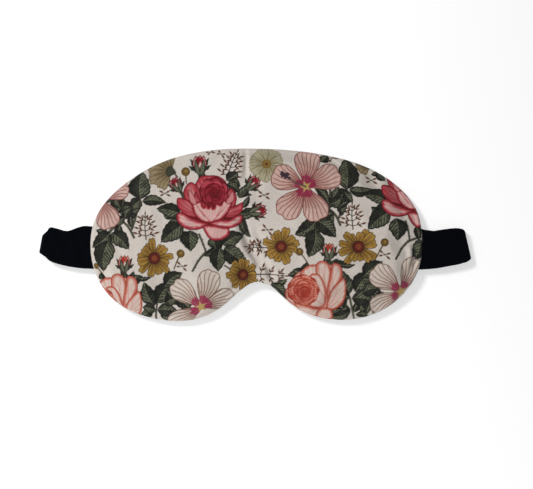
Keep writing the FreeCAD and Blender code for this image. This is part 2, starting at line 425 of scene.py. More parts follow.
def hibiscus(p, x, y, r, turn, pal=PINK, wide=0.95, arcs=None, stamen=None, seed=3, heart=1.0):
    """Five broad veined petals round a crimson heart."""
    arcs = arcs if arcs is not None else [0, 72, 144, 216, 288]
    rng = np.random.RandomState(seed)
    for n, a in enumerate(arcs):
        ln = r * rng.uniform(0.93, 1.05)
        s = Patch(p, x, y, r * 1.25, turn + a)
        v = petal_line(ln, wide * r, tip=0.03, ruffle=0.010, seed=seed + n * 2.0, base=0.16)
        s.fill(v, petal_tone(pal, ln, 8.6, 0.46, seed + n, deep_base=0.0, strength=0.78, shade=0.7),
               line=pal["line"], width=0.42)
    for n, a in enumerate(arcs):
        s = Patch(p, x, y, r, turn + a)
        if heart:
            j1, j2 = rng.uniform(.8, 1.2, 2)
            s.fill(curve([(r * .05, 0), (r * .15, r * .10 * j1), (r * .27, r * .10), (r * .29, r * .03), (r * .33 * j2, 0),
                          (r * .28, -r * .04), (r * .27, -r * .10 * j2), (r * .15, -r * .10)], True, 5), pal["deep"], 0.88)
            for e in (-.08, -.03, .03, .08):
                s.stroke([(r * .24, r * e), (r * rng.uniform(.34, .46), r * e * 1.7)], .34, .12, pal["deep"], .8)
            s.stroke([(r * .06, r * .03), (r * .26, r * .05)], .3, .2, mix(pal["deep"], pal["pale"], .55), .8)
        s.stroke([(r * .1, 0), (r * .42, 0)], 0.3, 0.15, pal["line"], 0.8)
    s = Patch(p, x, y, r)
    t = np.linspace(0, 2 * math.pi, 15, endpoint=False)
    rr = r * np.where(np.arange(15) % 3 == 0, 0.17, 0.08)
    s.fill(np.stack([rr * np.cos(t + math.radians(turn + 36)), rr * np.sin(t + math.radians(turn + 36))], 1),
           (176, 152, 96))
    if stamen is not None:
        dx, dy = stamen
        ex = np.array([[0, 0], [dx * .5 - dy * .06, dy * .5 + dx * .06], [dx, dy]])
        v = curve(ex, n=6)
        s = Patch(p, x, y, max(r * 1.3, math.hypot(dx, dy) + 4))
        s.stroke(v, 1.1, 0.8, (62, 46, 46))
        s.stroke(v, 0.35, 0.25, (140, 112, 104))
        d = np.array([dx, dy]) / math.hypot(dx, dy)
        for k in range(19):
            a = k * 2.4
            q = np.array([dx, dy]) - d * (k % 6) * 0.75 + 1.5 * np.array([math.cos(a), math.sin(a)]) * (0.6 + 0.4 * (k % 2))
            s.dot(q[0], q[1], 0.72, (84, 62, 78), line=(44, 32, 42), width=0.26)


def cup_petal(s, v, base, pal, seed=0, k=26, pale_in=3.2, strength=0.5, n=7, line_w=0.34, dark_to=None, rim=1.1):
    """One rose petal: deep along its rim, pale inside, with fine hatching from its base."""
    v = curve(v, closed=True, n=n)
    b = np.asarray(base, float)

    def tone(q, sd):
        d = -sd
        col = mix(pal["deep"], pal["mid"], step(d, 0.1, rim))
        col = mix(col, pal["pale"], step(d + 0.8 * (noise(q * s.size, 1.6, seed) - 0.5), 0.9, pale_in))
        a = np.arctan2(q[:, 1] - b[1], q[:, 0] - b[0])
        r = np.hypot(q[:, 1] - b[1], q[:, 0] - b[0])
        hatch = 0.5 + 0.5 * np.sin(a * k * 1.5 + 1.6 * np.sin(r * 4 + seed) + 1.2 * noise(q * s.size, 2.5, seed + 9))
        fade = 0.35 + 0.65 * step(d, pale_in * 1.2, 0.4)
        col = mix(col, mix(pal["mid"], pal["deep"], .45), strength * 1.1 * step(hatch, 0.5, 0.95) * fade)
        glow = 0.5 + 0.5 * np.sin(a * k * 0.45 + seed * 1.7)
        col = mix(col, pal["pale"], 0.35 * step(glow, .6, 1.0) * step(d, .8, 2.0))
        if dark_to is not None:
            col = mix(col, pal["deep"], 0.75 * (1 - step(r * s.size, dark_to * 0.3, dark_to)))
        return col
    s.fill(v, tone, line=pal["line"], width=line_w)


def swirl(s, cx, cy, r, pal, turns=6, seed=0):
    """The rolled heart of a rose: crescents of small petals round a dark middle."""
    t = np.linspace(0, 2 * math.pi, 40, endpoint=False)
    edge = r * (1 + 0.06 * np.abs(np.sin(t * 3.5 + seed)) + 0.03 * np.sin(t * 9 + 1))
    s.fill(np.stack([cx + edge * np.cos(t), cy + edge * np.sin(t)], 1), pal["deep"], line=pal["line"], width=0.4)
    rng = np.random.RandomState(seed + 11)
    for k in range(turns):
        f = 1 - (k + 0.1) / (turns + 0.4)
        n = (7, 6, 6, 5, 4, 3, 3)[min(k, 6)]
        ox, oy = .02 * r * k, -0.05 * r * k
        if k:
            ox, oy = ox + r * rng.uniform(-.06, .06), oy + r * rng.uniform(-.05, .05)
        for j in range(n):
            a0 = 2 * math.pi * j / n + k * 0.55 + rng.uniform(-.15, .15)
            span = 2 * math.pi / n * rng.uniform(1.0, 1.25)
            aa = np.linspace(a0, a0 + span, 8)
            bulge = np.sin(np.linspace(0, math.pi, 8))
            jit = rng.uniform(.92, 1.06)
            ro = r * f * (0.90 + 0.13 * bulge) * jit
            ri = r * f * (0.70 - 0.08 * bulge) * jit
            outer = np.stack([cx + ox + ro * np.cos(aa), cy + oy + ro * np.sin(aa)], 1)
            inner = np.stack([cx + ox + ri * np.cos(aa), cy + oy + ri * np.sin(aa)], 1)[::-1]
            up = .5 + .5 * math.sin(a0 + span / 2)
            light = np.clip(.86 * f * (.45 + .55 * up) + rng.uniform(-.12, .2), 0, 1)
            rim_c = mix(pal["mid"], pal["pale"], np.array(light))

            def tone(q, sd, rim_c=rim_c, ph=a0):
                ang = np.arctan2(q[:, 1] - cy - oy, q[:, 0] - cx - ox)
                rr = np.hypot(q[:, 1] - cy - oy, q[:, 0] - cx - ox) / max(r * f, 1e-6)
                c = mix(pal["deep"], rim_c, step(rr, .70, .98))
                h = .5 + .5 * np.sin(ang * 30 + ph * 3)
                return mix(c, pal["deep"], .45 * step(h, .5, 1.0))
            s.fill(np.vstack([outer, inner]), tone, line=pal["line"], width=0.30)
    s.dot(cx + .02 * r * turns, cy - .05 * r * turns, r * .10, mix(pal["deep"], pal["line"], .6))


def rose(p, x, y, r, turn=0, pal=ROSE, flip=1, seed=0):
    """A full garden rose, seen a little from the side."""
    s = Patch(p, x, y, r * 1.35, turn, r, flip)
    k = dict(pal=pal)
    s.fill(curve([(-.55, .5), (-.2, .8), (.3, .8), (.62, .5), (.8, .1), (.8, -.3), (.4, -.6), (.0, -.55), (-.5, -.6), (-.8, -.35), (-.7, .1)], True, 6),
           mix(pal["deep"], pal["line"], .4))
    # petals behind the heart
    cup_petal(s, [(-.48, .60), (-.30, .95), (0, 1.0), (.30, .96), (.52, .74), (.45, .35), (0, .2), (-.4, .3)],
              (0, .1), seed=1, pale_in=9.0, strength=.75, **k)
    # outer petals, left then right
    cup_petal(s, [(-.62, .78), (-.80, .52), (-.72, .16), (-.46, -.12), (-.22, -.1), (-.26, .38), (-.42, .70)],
              (-.2, -.3), seed=2, pale_in=10.0, strength=.75, **k)
    cup_petal(s, [(-.98, .30), (-.97, .02), (-.70, -.24), (-.36, -.28), (-.40, .02), (-.66, .24)],
              (-.2, -.3), seed=3, pale_in=8.0, strength=.75, **k)
    cup_petal(s, [(.66, .60), (.82, .36), (.74, .02), (.46, -.14), (.30, .06), (.44, .44)],
              (.2, -.3), seed=4, pale_in=9.0, strength=.75, **k)
    cup_petal(s, [(1.0, .16), (.98, -.10), (.72, -.30), (.40, -.26), (.48, -.04), (.76, .06)],
              (.2, -.3), seed=5, pale_in=8.0, strength=.75, **k)
    swirl(s, 0.13, 0.50, 0.43, dict(pal, deep=(126, 8, 30), mid=(164, 38, 56), pale=(218, 120, 128)), turns=6, seed=seed)
    # cup
    cup_petal(s, [(-.44, .50), (-.30, .28), (-.06, .04), (.08, -.30), (-.10, -.44), (-.36, -.32), (-.52, .0)],
              (-.05, -.5), seed=6, pale_in=5.0, strength=.7, **k)
    cup_petal(s, [(.58, .38), (.62, .02), (.42, -.34), (.12, -.46), (.02, -.2), (.14, .02), (.36, .16)],
              (.1, -.5), seed=7, pale_in=4.6, strength=.7, **k)
    cup_petal(s, [(-.56, .34), (-.40, .20), (-.27, .21), (-.18, .03), (-.10, .16), (-.03, .01), (.05, .14), (.11, -.01), (.20, .16),
                  (.32, .10), (.42, .24), (.54, .22), (.68, .34), (.66, .04), (.48, -.24), (.22, -.42), (-.04, -.46), (-.32, -.36),
                  (-.52, -.08)], (.04, -.62), seed=8, pale_in=1.7, strength=0.42, line_w=.3, **k)
    for v in ([(-.52, .24), (-.36, .02), (-.14, -.24), (.0, -.40)], [(.62, .22), (.48, .02), (.26, -.22), (.10, -.40)],
              [(-.40, .14), (-.30, -.06), (-.16, -.26)], [(.40, .14), (.34, -.04), (.22, -.24)]):
        s.stroke(curve(v, n=5), .16, .44, mix(pal["mid"], pal["deep"], .5), .75)
    # slim petals standing up at its sides
    for v in ([(-.64, .56), (-.50, .40), (-.40, .18), (-.48, .10), (-.62, .24)],
              [(.70, .52), (.58, .34), (.50, .20), (.58, .12), (.74, .26)]):
        s.fill(curve(v, True, 5), mix(pal["mid"], pal["pale"], .6), line=pal["line"], width=.30)
    # lower petals
    cup_petal(s, [(-1.0, -.18), (-.98, -.42), (-.72, -.64), (-.36, -.66), (-.02, -.50), (-.30, -.40), (-.60, -.28), (-.82, -.14)],
              (0, -.5), seed=9, pale_in=2.6, **k)
    cup_petal(s, [(1.0, -.24), (.94, -.48), (.62, -.62), (.26, -.60), (.0, -.46), (.30, -.36), (.58, -.36), (.82, -.22)],
              (0, -.5), seed=10, pale_in=2.4, **k)
    cup_petal(s, [(-.20, -.54), (-.12, -.80), (.06, -.98), (.34, -.98), (.58, -.84), (.58, -.62), (.34, -.56), (.06, -.52)],
              (.1, -.4), seed=12, pale_in=2.2, **k)


def peony(p, x, y, r, turn=0, pal=CORAL, flip=1, seed=5):
    """An open peony: a tight heart to one side of big pale guard petals."""
    s = Patch(p, x, y, r * 1.35, turn, r, flip)
    k = dict(pal=pal, strength=0.45, rim=0.7)
    s.fill(curve([(-.6, .6), (.1, .85), (.7, .8), (.9, .3), (.9, -.4), (.4, -.7), (-.1, -.8), (-.6, -.5), (-.9, -.2), (-.8, .2)], True, 6),
           mix(pal["mid"], pal["pale"], .4), line=pal["line"], width=.3)
    cup_petal(s, [(-.5, .62), (-.2, .86), (.12, .80), (.2, .4), (-.2, .1), (-.5, .3)], (0, -.2), seed=1, pale_in=2.2, **k)
    cup_petal(s, [(.0, .86), (.22, 1.0), (.44, .84), (.50, .40), (.34, -.1), (.12, .0), (.02, .4)], (.35, -.5), seed=2, pale_in=2.2, **k)
    cup_petal(s, [(.54, .90), (.80, .84), (.86, .50), (.66, .10), (.42, -.3), (.36, .0), (.46, .5)], (.35, -.5), seed=3, pale_in=2.4, **k)
    cup_petal(s, [(.92, .42), (1.0, .05), (.92, -.35), (.62, -.60), (.36, -.55), (.44, -.1), (.66, .22)], (.35, -.6), seed=4, pale_in=1.6, **k)
    cup_petal(s, [(-.95, .10), (-1.0, -.25), (-.74, -.52), (-.4, -.6), (-.3, -.2), (-.6, .2)], (0, -.6), seed=5, pale_in=2.0, **k)
    cup_petal(s, [(-.20, .50), (.06, .56), (.26, .30), (.34, -.10), (.28, -.48), (.0, -.56), (-.26, -.42), (-.2, .0)], (.3, -.7), seed=6, pale_in=1.5, **k)
    swirl(s, -0.42, 0.02, 0.50, dict(pal, pale=(222, 164, 142), deep=(158, 58, 42)), turns=6, seed=seed)
    for k2, (ax, ay, bx, by) in enumerate(((.42, .30, .36, -.40), (.56, .50, .40, -.35), (.70, .10, .42, -.48), (.80, -.2, .46, -.52),
                                           (.20, .70, .33, -.25), (.10, .10, .30, -.45), (.02, -.30, .28, -.54))):
        mx, my = (ax + bx) / 2 + .06, (ay + by) / 2 - .02
        s.stroke(curve([(ax, ay), (mx, my), (bx, by)], n=5), .25, .5, mix(pal["mid"], pal["deep"], .3), .7)
    cup_petal(s, [(-.72, -.42), (-.40, -.46), (-.06, -.56), (.26, -.62), (.10, -.86), (-.24, -.92), (-.58, -.72)], (.3, -.6), seed=7, pale_in=2.2, **k)
    cup_petal(s, [(.20, -.56), (.50, -.62), (.56, -.92), (.34, -1.08), (.06, -1.0), (.02, -.74)], (.3, -.5), seed=8, pale_in=2.0, **k)


def bud(p, x, y, r, turn=90, pal=ROSE, leafy=True):
    """A rosebud: a pointed cup of petals held in spiky sepals, on a short neck."""
    s = Patch(p, x, y, r * 2.6, turn)
    green, dark = mix(LEAF["mid"], LEAF["light"], .15), LEAF["line"]
    s.stroke(curve([(-1.9 * r, .1 * r), (-1.3 * r, 0), (-.5 * r, 0)], n=4), .42 * r, .34 * r, dark)
    s.stroke(curve([(-1.9 * r, .1 * r), (-1.3 * r, 0), (-.5 * r, 0)], n=4), .26 * r, .20 * r, green)
    for a, ln, w in ((58, 1.25, .22), (-58, 1.25, .22), (33, 1.62, .26), (-33, 1.62, .26), (12, 1.75, .22), (-14, 1.7, .22)):
        c, d = math.cos(math.radians(a)), math.sin(math.radians(a))
        pts = []
        for f, g in ((0, .3), (.3, 1.0), (.5, .55), (.62, .95), (.8, .4), (1.0, 0), (.8, -.4), (.62, -.95), (.5, -.55), (.3, -1.0), (0, -.3)):
            pts.append((-.62 * r + ln * r * f * c - w * r * g * d, ln * r * f * d + w * r * g * c))
        s.fill(pts, mix(LEAF["dark"], LEAF["mid"], .45), line=dark, width=.22)
    cup = curve([(-.45 * r, 0), (-.1 * r, .56 * r), (.38 * r, .64 * r), (.90 * r, .44 * r), (.86 * r, .14 * r), (1.06 * r, -.06 * r),
                 (.88 * r, -.22 * r), (.92 * r, -.44 * r), (.38 * r, -.62 * r), (-.1 * r, -.54 * r)], True, 4)
    s.fill(cup, lambda q, sd: mix(pal["mid"], pal["pale"], step(-sd, .2, .9)),
           line=pal["line"], width=0.42)
    s.fill(curve([(.05 * r, .16 * r), (.5 * r, .42 * r), (.95 * r, .10 * r), (.6 * r, -.05 * r)], True, 5), pal["deep"], line=pal["line"], width=.25)
    s.fill(curve([(.1 * r, -.30 * r), (.55 * r, -.02 * r), (.9 * r, -.18 * r), (.5 * r, -.42 * r)], True, 5), mix(pal["deep"], pal["mid"], .4), line=pal["line"], width=.25)
    for a, sg in ((26, 1), (-26, -1)):
        c, d = math.cos(math.radians(a)), math.sin(math.radians(a))
        s.fill(curve([(-.95 * r, 0), (-.50 * r, .42 * r * sg), (.10 * r, .50 * r * sg), (.62 * r, .40 * r * sg),
                      (.15 * r, .16 * r * sg), (-.25 * r, .02 * r * sg)], True, 4),
               lambda q, sd: mix(LEAF["mid"], LEAF["light"], step(-sd, .1, .7) * .55), line=dark, width=0.3)


def berry(p, x, y, r, tail):
    """A seed head on its stalk."""
    stem(p, [(x, y), (x + tail[0] * .5, y + tail[1] * .45), (x + tail[0], y + tail[1])], .55, .4, (96, 80, 46), (66, 50, 28))
    s = Patch(p, x, y, r * 2)
    s.dot(0, 0, r, (112, 88, 40), line=(62, 44, 22), width=0.35)
    s.dot(r * .1, r * .15, r * .5, (146, 118, 60), line=(84, 62, 28), width=0.22)


def blade(s, x, y, angle, length, width, colour):
    """One small pointed leaf."""
    c, d = math.cos(angle), math.sin(angle)
    v = [(0, 0), (.35, .5), (.62, .42), (1, 0), (.62, -.42), (.35, -.5)]
    v = np.array([(x + length * a * c - width * b * d, y + length * a * d + width * b * c) for a, b in v])
    s.fill(v, colour, line=mix(colour, DARK, .6), width=.12)


def sprig(p, x, y, length, turn=90, pairs=4, tip=0.40, colour=BROWN):
    """An open sprig: cross twigs that end in small leaflets."""
    s = Patch(p, x, y, length * 1.45, turn)
    s.stroke(curve([(0, 0), (length * .5, length * .03), (length, 0)], n=6), .62, .40, DARK)
    for k in range(pairs):
        f0 = k / max(pairs - 1, 1)
        u = length * (0.14 + 0.60 * f0)
        ln = length * tip * (1 - 0.50 * f0) + 0.8
        for sg in (1, -1):
            a = math.radians((74 - 20 * f0) * sg + 5 * math.sin(3.1 * k + x))
            c, d = math.cos(a), math.sin(a)
            s.stroke([(u, 0), (u + ln * .72 * c, ln * .72 * d)], .44, .32, DARK)
            blade(s, u + ln * .62 * c, ln * .62 * d, a, 3.5, 1.1, colour)
            for f, w in ((.30, 42), (.40, -42)):
                blade(s, u + ln * f * c, ln * f * d, a + math.radians(w), 2.9, .95, colour)
    blade(s, length * .96, 0, 0, 3.2, .75, colour)
    for w in (38, -38):
        blade(s, length * .86, 0, math.radians(w), 2.8, .66, colour)


def tuft(p, x, y, r, turn=0, n=4, colour=BROWN):
    s = Patch(p, x, y, r * 1.6, turn)
    for k in range(n):
        a = math.radians(360.0 * k / n + (24 if k % 2 else -12))
        px, py = math.cos(a), math.sin(a)
        q = r * (1.0 if k % 2 else .82)
        s.stroke([(0, 0), (q * .6 * px, q * .6 * py)], .34, .3, DARK)
        blade(s, q * .36 * px, q * .36 * py, a, q * .86, 1.15, colour)

# --------------------------------------------------------------- the print --

def draw_print(c):
    for a in SPRIGS:
        sprig(c, *a)
    for x, y, r, t in TUFTS:
        tuft(c, x, y, r, t)
    for pts, w0, w1, th in STEMS:
        stem(c, pts, w0, w1, thorns=th)
    for x, y, r, tx, ty in BERRIES:
        berry(c, x, y, r, (tx, ty))
    side_daisy(c, -53.7, 39.8, 15.5, 168, spread=165, petals=9, seed=4)
    side_daisy(c, 72.1, 44.2, 9.0, 186, spread=120, petals=6, seed=8)
    pale_daisy(c, 6.5, 44.7, 12.4, 5)
    for x, y, t, n, w in LEAVES:
        leaf(c, x, y, t, n * 1.12, w)
    hibiscus(c, -100.1, 23.9, 21.0, 0, PINK, 0.74, arcs=[24, -66], seed=5, heart=0)
    hibiscus(c, 31.1, 30.4, 23.6, 0, PINK, 0.70, arcs=[23, 86, 158, -66, 231], stamen=(-14.6, 8.2), seed=3)
    hibiscus(c, -34.9, -45.6, 24.0, 0, CREAM, 0.60, arcs=[17, 214, 140, 73], seed=7)
    hibiscus(c, 91.7, -36.1, 24.0, 0, CREAM, 0.66, arcs=[216, 62, 142], seed=9)
    daisy(c, -64.3, -14.9, 12.2, 8, 13, seed=1)
    daisy(c, -8.5, -25.4, 11.2, 20, 13, seed=2)
    daisy(c, 15.6, -7.6, 12.0, 12, 12, seed=3)
    daisy(c, 64.4, -7.7, 12.4, 4, 13, seed=4)
    for x, y, r, t in BUDS:
        bud(c, x, y, r, t)
    for x, y, r, t in CORAL_BUDS:
        bud(c, x, y, r, t, CORAL)
    rose(c, -29.4, 16.8, 20.6, 0)
    rose(c, 99.9, 25.2, 20.6, 0)
    peony(c, -91.5, -43.8, 19.2, 0)
    peony(c, 37.6, -35.6, 19.2, 0)


SPRIGS = [(-69.4, -3.1, 15.6, 92, 4, .50), (-18.8, 34.2, 20.0, 70, 5, .38), (61.0, 3.3, 15.6, 92, 4, .50),
          (10.2, -7.9, 16.0, 179, 3, .34), (-0.1, -25.2, 18.5, -3, 3, .36)]
TUFTS = [(-57.7, 26.0, 3.4, 40), (-47.0, -19.9, 3.6, 20), (-22.3, 51.3, 3.0, 10), (-29.2, 52.6, 2.6, 60),
         (4.8, 25.0, 3.8, 30), (7.0, 3.0, 4.0, 15), (72.9, 34.4, 3.8, 35), (80.9, -12.6, 4.0, 25),
         (48.1, 49.0, 3.6, 70), (-0.0, -6.8, 3.4, 0)]
STEMS = [([(-23.4, -8.6), (-31.2, -11.0), (-36.1, -16.0), (-40.1, -22.9)], 1.2, 1.0, 6),
         ([(-36.1, 0.1), (-33.8, -5.3), (-31.5, -11.4)], 1.0, .8, 4),
         ([(-93.4, 0.9), (-85.9, 10.1), (-79.4, 16.2), (-73.7, 21.6)], 1.6, 1.1, 0),
         ([(-84.8, 8.7), (-80.6, 4.7), (-77.0, -1.8)], 1.3, 1.1, 0),
         ([(-75.6, 13.1), (-76.7, 8.5), (-78.5, 3.2)], 1.2, 1.0, 0),
         ([(-84.8, 23.9), (-85.2, 20.0), (-86.3, 15.4)], 1.5, 1.2, 0),
         ([(-60.6, -19.5), (-56.8, -23.3), (-52.6, -28.3)], .6, .5, 0),
         ([(-20.0, -19.5), (-15.8, -22.2), (-11.5, -24.5)], .6, .5, 0),
         ([(-63.7, -54.4), (-63.5, -49.0), (-62.5, -42.9)], 1.0, .8, 0),
         ([(-53.0, 39.2), (-51.4, 38.1), (-49.9, 36.5)], .8, .6, 0),
         ([(-50.3, -43.6), (-44.1, -45.9), (-38.0, -47.1)], .9, .7, 0),
         ([(104.7, -1.4), (97.0, -3.8), (92.4, -8.0), (88.0, -15.3)], 1.2, 1.0, 6),
         ([(94.4, 8.5), (95.9, 3.5), (97.0, -3.8)], 1.0, .8, 4),
         ([(37.6, 8.7), (42.6, 13.9), (48.7, 20.0), (57.1, 28.8)], 1.6, 1.1, 0),
         ([(46.4, 15.8), (50.2, 12.0), (53.0, 6.1)], 1.3, 1.1, 0),
         ([(55.4, 20.8), (53.9, 16.2), (52.2, 10.8)], 1.2, 1.0, 0),
         ([(46.0, 33.1), (46.6, 28.5), (46.6, 23.1)], 1.6, 1.1, 0),
         ([(20.3, -9.5), (23.4, -9.7), (26.5, -10.5)], .7, .6, 0),
         ([(66.7, -11.4), (69.4, -14.9), (72.9, -20.2)], .6, .5, 0),
         ([(59.1, -39.8), (60.6, -46.7), (62.1, -54.0)], 1.1, .9, 0),
         ([(72.5, -39.0), (76.3, -38.3), (80.9, -41.3)], .9, .7, 0),
         ([(-34.2, 37.3), (-33.4, 34.6), (-32.6, 32.3)], 1.0, .9, 0)]
BERRIES = [(-44.7, 39.8, 2.7, 0.5, -7.5), (-47.7, -12.0, 2.5, -4.2, -9.6), (-101.7, -19.9, 1.8, 6.6, -7.8),
           (80.9, -4.9, 2.5, -5.2, -9.4), (27.2, -10.8, 2.4, 5.8, -8.2)]
BUDS = [(-35.8, 43.4, 6.8, 93), (-50.1, 30.8, 5.4, 122), (-2.7, 31.8, 5.6, 48), (0.5, 14.7, 5.9, 12)]
CORAL_BUDS = [(-83.1, -19.1, 5.7, 92), (45.9, -11.3, 5.7, 90)]
LEAVES = [  # x, y, turn, length, width
    (-78.6, 18.5, 175, 9.5, .55), (-76.7, 17.0, 250, 9.0, .6), (-80.9, 13.9, 35, 9.5, .55), (-88.6, 13.9, 60, 9, .6),
    (-89.4, 17.0, 95, 8, .5), (-86.3, 6.2, 250, 7.5, .6), (-83.2, 10.8, 215, 8.5, .6), (-79.4, 12.4, 280, 8, .4),
    (-94.0, 0.9, 165, 7, .6), (-52.6, 10.8, 150, 6.5, .6), (-42.6, 1.6, 230, 7.5, .6), (-25.7, -9.5, 60, 7.5, .7),
    (-16.9, -11.0, -62, 11.0, .6), (-26.5, -9.1, 215, 7, .5),
    (-66.4, -47.5, 215, 9, .6), (-64.8, -39.8, 160, 9, .6), (-60.2, -49.8, -50, 8, .6), (-53.3, -37.5, 75, 8, .6), (-54.9, -40.6, -15, 9.5, .6),
    (-46.4, -43.6, 10, 7, .5), (-8.8, 17.0, 60, 8, .4), (-14.2, 29.2, 80, 7, .6),
    (54.8, 21.6, 265, 9, .6), (50.2, 21.6, 190, 9.5, .55), (43.3, 23.9, 140, 8, .5), (41.8, 17.0, 235, 9, .5), (46.4, 16.2, 285, 8.5, .5),
    (40.3, 12.4, 12, 8, .6), (38.7, 6.2, 250, 8, .6), (52.5, 17.0, 30, 7.5, .4),
    (78.6, 13.9, 150, 6.5, .6), (88.6, 9.3, 230, 7.5, .6), (104.7, 6.2, -100, 9, .6),
    (57.1, -39.0, 215, 9, .6), (57.9, -32.1, 160, 9, .6), (63.3, -42.1, -50, 9, .6), (69.4, -29.8, 75, 8, .6), (68.7, -35.2, -12, 10, .6),
    (74.8, -31.4, 40, 8.5, .6), (57.1, -44.4, 250, 8.5, .6), (62.1, -49.0, 60, 7.5, .5), (72.9, -42.1, 250, 9, .5), (63.3, -50.5, -20, 8, .5),
    (12.7, -32.1, 30, 7, .5), (27.2, -22.9, 200, 7, .6),
    (-73.3, 22.5, 88, 16.6, .74), (-71.7, 21.2, -4, 13.5, .42), (-72.9, 21.9, 225, 8.0, .85),
    (-86.3, 17.0, 120, 8.0, .6), (-85.9, 13.1, 20, 8.5, .8), (-88.6, 10.8, 160, 8.0, .7), (-82.9, 10.1, 60, 7.5, .7),
    (-92.5, 1.2, 218, 13.6, .62), (-91.5, 1.0, -42, 13.8, .62), (-93.2, -3.8, -100, 18.0, .62),
    (-92.1, 21.6, 150, 6.0, .6), (-96.3, -30.6, 200, 5.0, .9), (-97.1, -28.3, 110, 4, .9),
    (-47.8, 13.1, 168, 14.0, .55), (-48.7, 9.3, 200, 7, .7), (-46.4, 6.2, 219, 16.0, .62),
    (-41.7, 2.5, -88, 11.8, .78), (-21.1, -6.2, 25, 13.5, .62), (-25.0, -9.1, 96, 9.0, .8),
    (-23.0, -8.5, -94, 13.4, .66), (-20.2, -8.4, -33, 15.6, .62),
    (-11.1, 23.9, 8, 7.6, .34), (-9.2, 10.8, -66, 12.5, .36), (-11.9, 24.6, 48, 10.0, .5), (-10.4, 10.8, 14, 11.5, .5),
    (-18.8, 34.6, 35, 8.0, .8), (-17.3, 33.1, -20, 7.0, .8), (-11.1, 27.7, 150, 8, .7),
    (-82.1, -31.4, 112, 8.5, .5), (-81.6, -31.4, 62, 8.5, .5), (-80.2, -30.0, 25, 8.6, .62), (-75.6, -27.5, 5, 8.6, .28),
    (-64.2, -44.6, 114, 14.5, .56), (-62.4, -43.0, 50, 15.0, .58), (-57.9, -32.9, 38, 13.0, .62),
    (-62.5, -47.5, -6, 11.6, .62), (-51.0, -41.3, -40, 11.0, .56), (-47.2, -47.5, -112, 9.0, .6),
    (-57.9, -43.6, 20, 8, .8), (-64.1, -48.2, 165, 7.5, .8), (-51.0, -39.0, 150, 6, .9),
    (57.3, 28.8, 92, 18.8, .62), (58.7, 28.3, 2, 13.8, .40), (57.9, 27.7, 222, 8.5, .8), (55.6, 26.9, -50, 7.5, .7),
    (43.3, 21.6, 100, 9, .6), (46.0, 19.3, 30, 8.5, .8), (43.3, 17.0, 170, 7.5, .7), (47.9, 23.1, 60, 7.5, .7),
    (38.7, 29.2, -55, 12, .35), (37.8, 8.7, 213, 14.6, .60), (38.6, 8.8, -42, 14.2, .62), (37.1, 3.2, -104, 16.4, .64),
    (82.7, 21.2, 166, 14.0, .55), (81.7, 17.0, 200, 7, .7), (84.1, 14.5, 219, 16.0, .62),
    (88.2, 10.2, -86, 12.6, .78), (101.3, 4.7, -75, 7, .5), (104.7, -3.0, -112, 13.5, .62),
    (81.7, 34.6, 130, 8, .5), (40.7, 46.3, 50, 6.5, .8),
    (46.4, -23.3, 112, 8.5, .5), (47.0, -23.3, 62, 8.5, .5), (48.3, -21.5, 25, 8.6, .62), (52.9, -19.1, 2, 8.6, .28),
    (29.5, -25.2, 72, 7.5, .7), (28.8, -25.6, 150, 6.0, .8),
    (59.1, -37.1, 112, 14.8, .56), (62.5, -36.0, 50, 15.6, .60), (67.5, -26.4, 38, 14.0, .62),
    (60.6, -40.0, -8, 12.4, .64), (59.1, -39.8, 160, 8.5, .7), (75.6, -37.5, -35, 10.0, .56), (77.9, -39.8, -110, 10.5, .6),
    (67.1, -36.7, 15, 9, .8), (59.1, -49.0, 192, 13.0, .45), (54.1, -47.5, 170, 8, .6),
    (9.2, -31.4, -42, 12.0, .5), (16.1, -37.1, -38, 9.0, .5), (-35.7, 34.6, 60, 5, .7),
    (77.1, 39.6, 200, 4, .7),
]
CREASES = [
    ([(-6.9, 54.2), (-6.4, 44.6), (-7.3, 34.6)], 1.8, -1.35), ([(-4.6, 53.8), (-4.1, 44.6), (-4.6, 36.9)], 1.98, 0.77),
    ([(-10.3, 13.9), (-5.4, -4.9), (-2.1, -11.2), (1.8, -17.3), (2.9, -22.4)], 2.9, -2.45), ([(1.9, -6.1), (7.0, -19.1), (9.9, -26.8)], 2.0, -1.0),
    ([(-13.3, 7.0), (-9.8, -4.9), (-6.2, -11.2), (-2.2, -17.3), (-1.2, -21.8)], 2.8, 0.95), ([(-1.9, 4.7), (5.0, -7.6), (12.7, -16.8)], 3.1, -1.45),
    ([(-9.6, 23.1), (-1.1, 17.0), (9.6, 13.9)], 3.06, 0.59),
    ([(3.5, -13.7), (8.1, -22.9), (11.1, -29.8)], 2.1, -1.25), ([(0.4, -3.0), (4.3, -13.7), (6.0, -23.7)], 1.7, 0.55),
    ([(97.0, -6.1), (97.4, -13.7), (94.7, -22.9)], 1.98, 1.45), ([(100.1, -5.3), (101.0, -13.7), (98.6, -21.4)], 1.9, -1.45),
    ([(38.7, 50.7), (43.3, 48.4), (46.4, 45.3)], 2.16, 1.19), ([(57.1, 17.0), (63.3, 13.9), (71.0, 13.9)], 3.60, 0.68),
    ([(-42.6, 12.4), (-36.5, 1.6), (-25.7, -4.5)], 4.05, -0.68), ([(-68.7, 17.0), (-62.5, 6.2), (-61.0, -3.0)], 3.60, 0.59),
    ([(26.5, 12.4), (32.6, 6.2), (43.3, 4.7)], 3.60, -0.59), ([(43.3, -20.6), (52.5, -26.0), (58.7, -36.7)], 3.60, 0.59),
    ([(-23.4, 12.4), (-15.0, 6.2), (-10.4, -3.0)], 3.06, 0.68), ([(-88.6, -9.1), (-79.4, -15.3), (-68.7, -16.8)], 4.05, -0.59),
]

# -------------------------------------------------------------- mask shape --

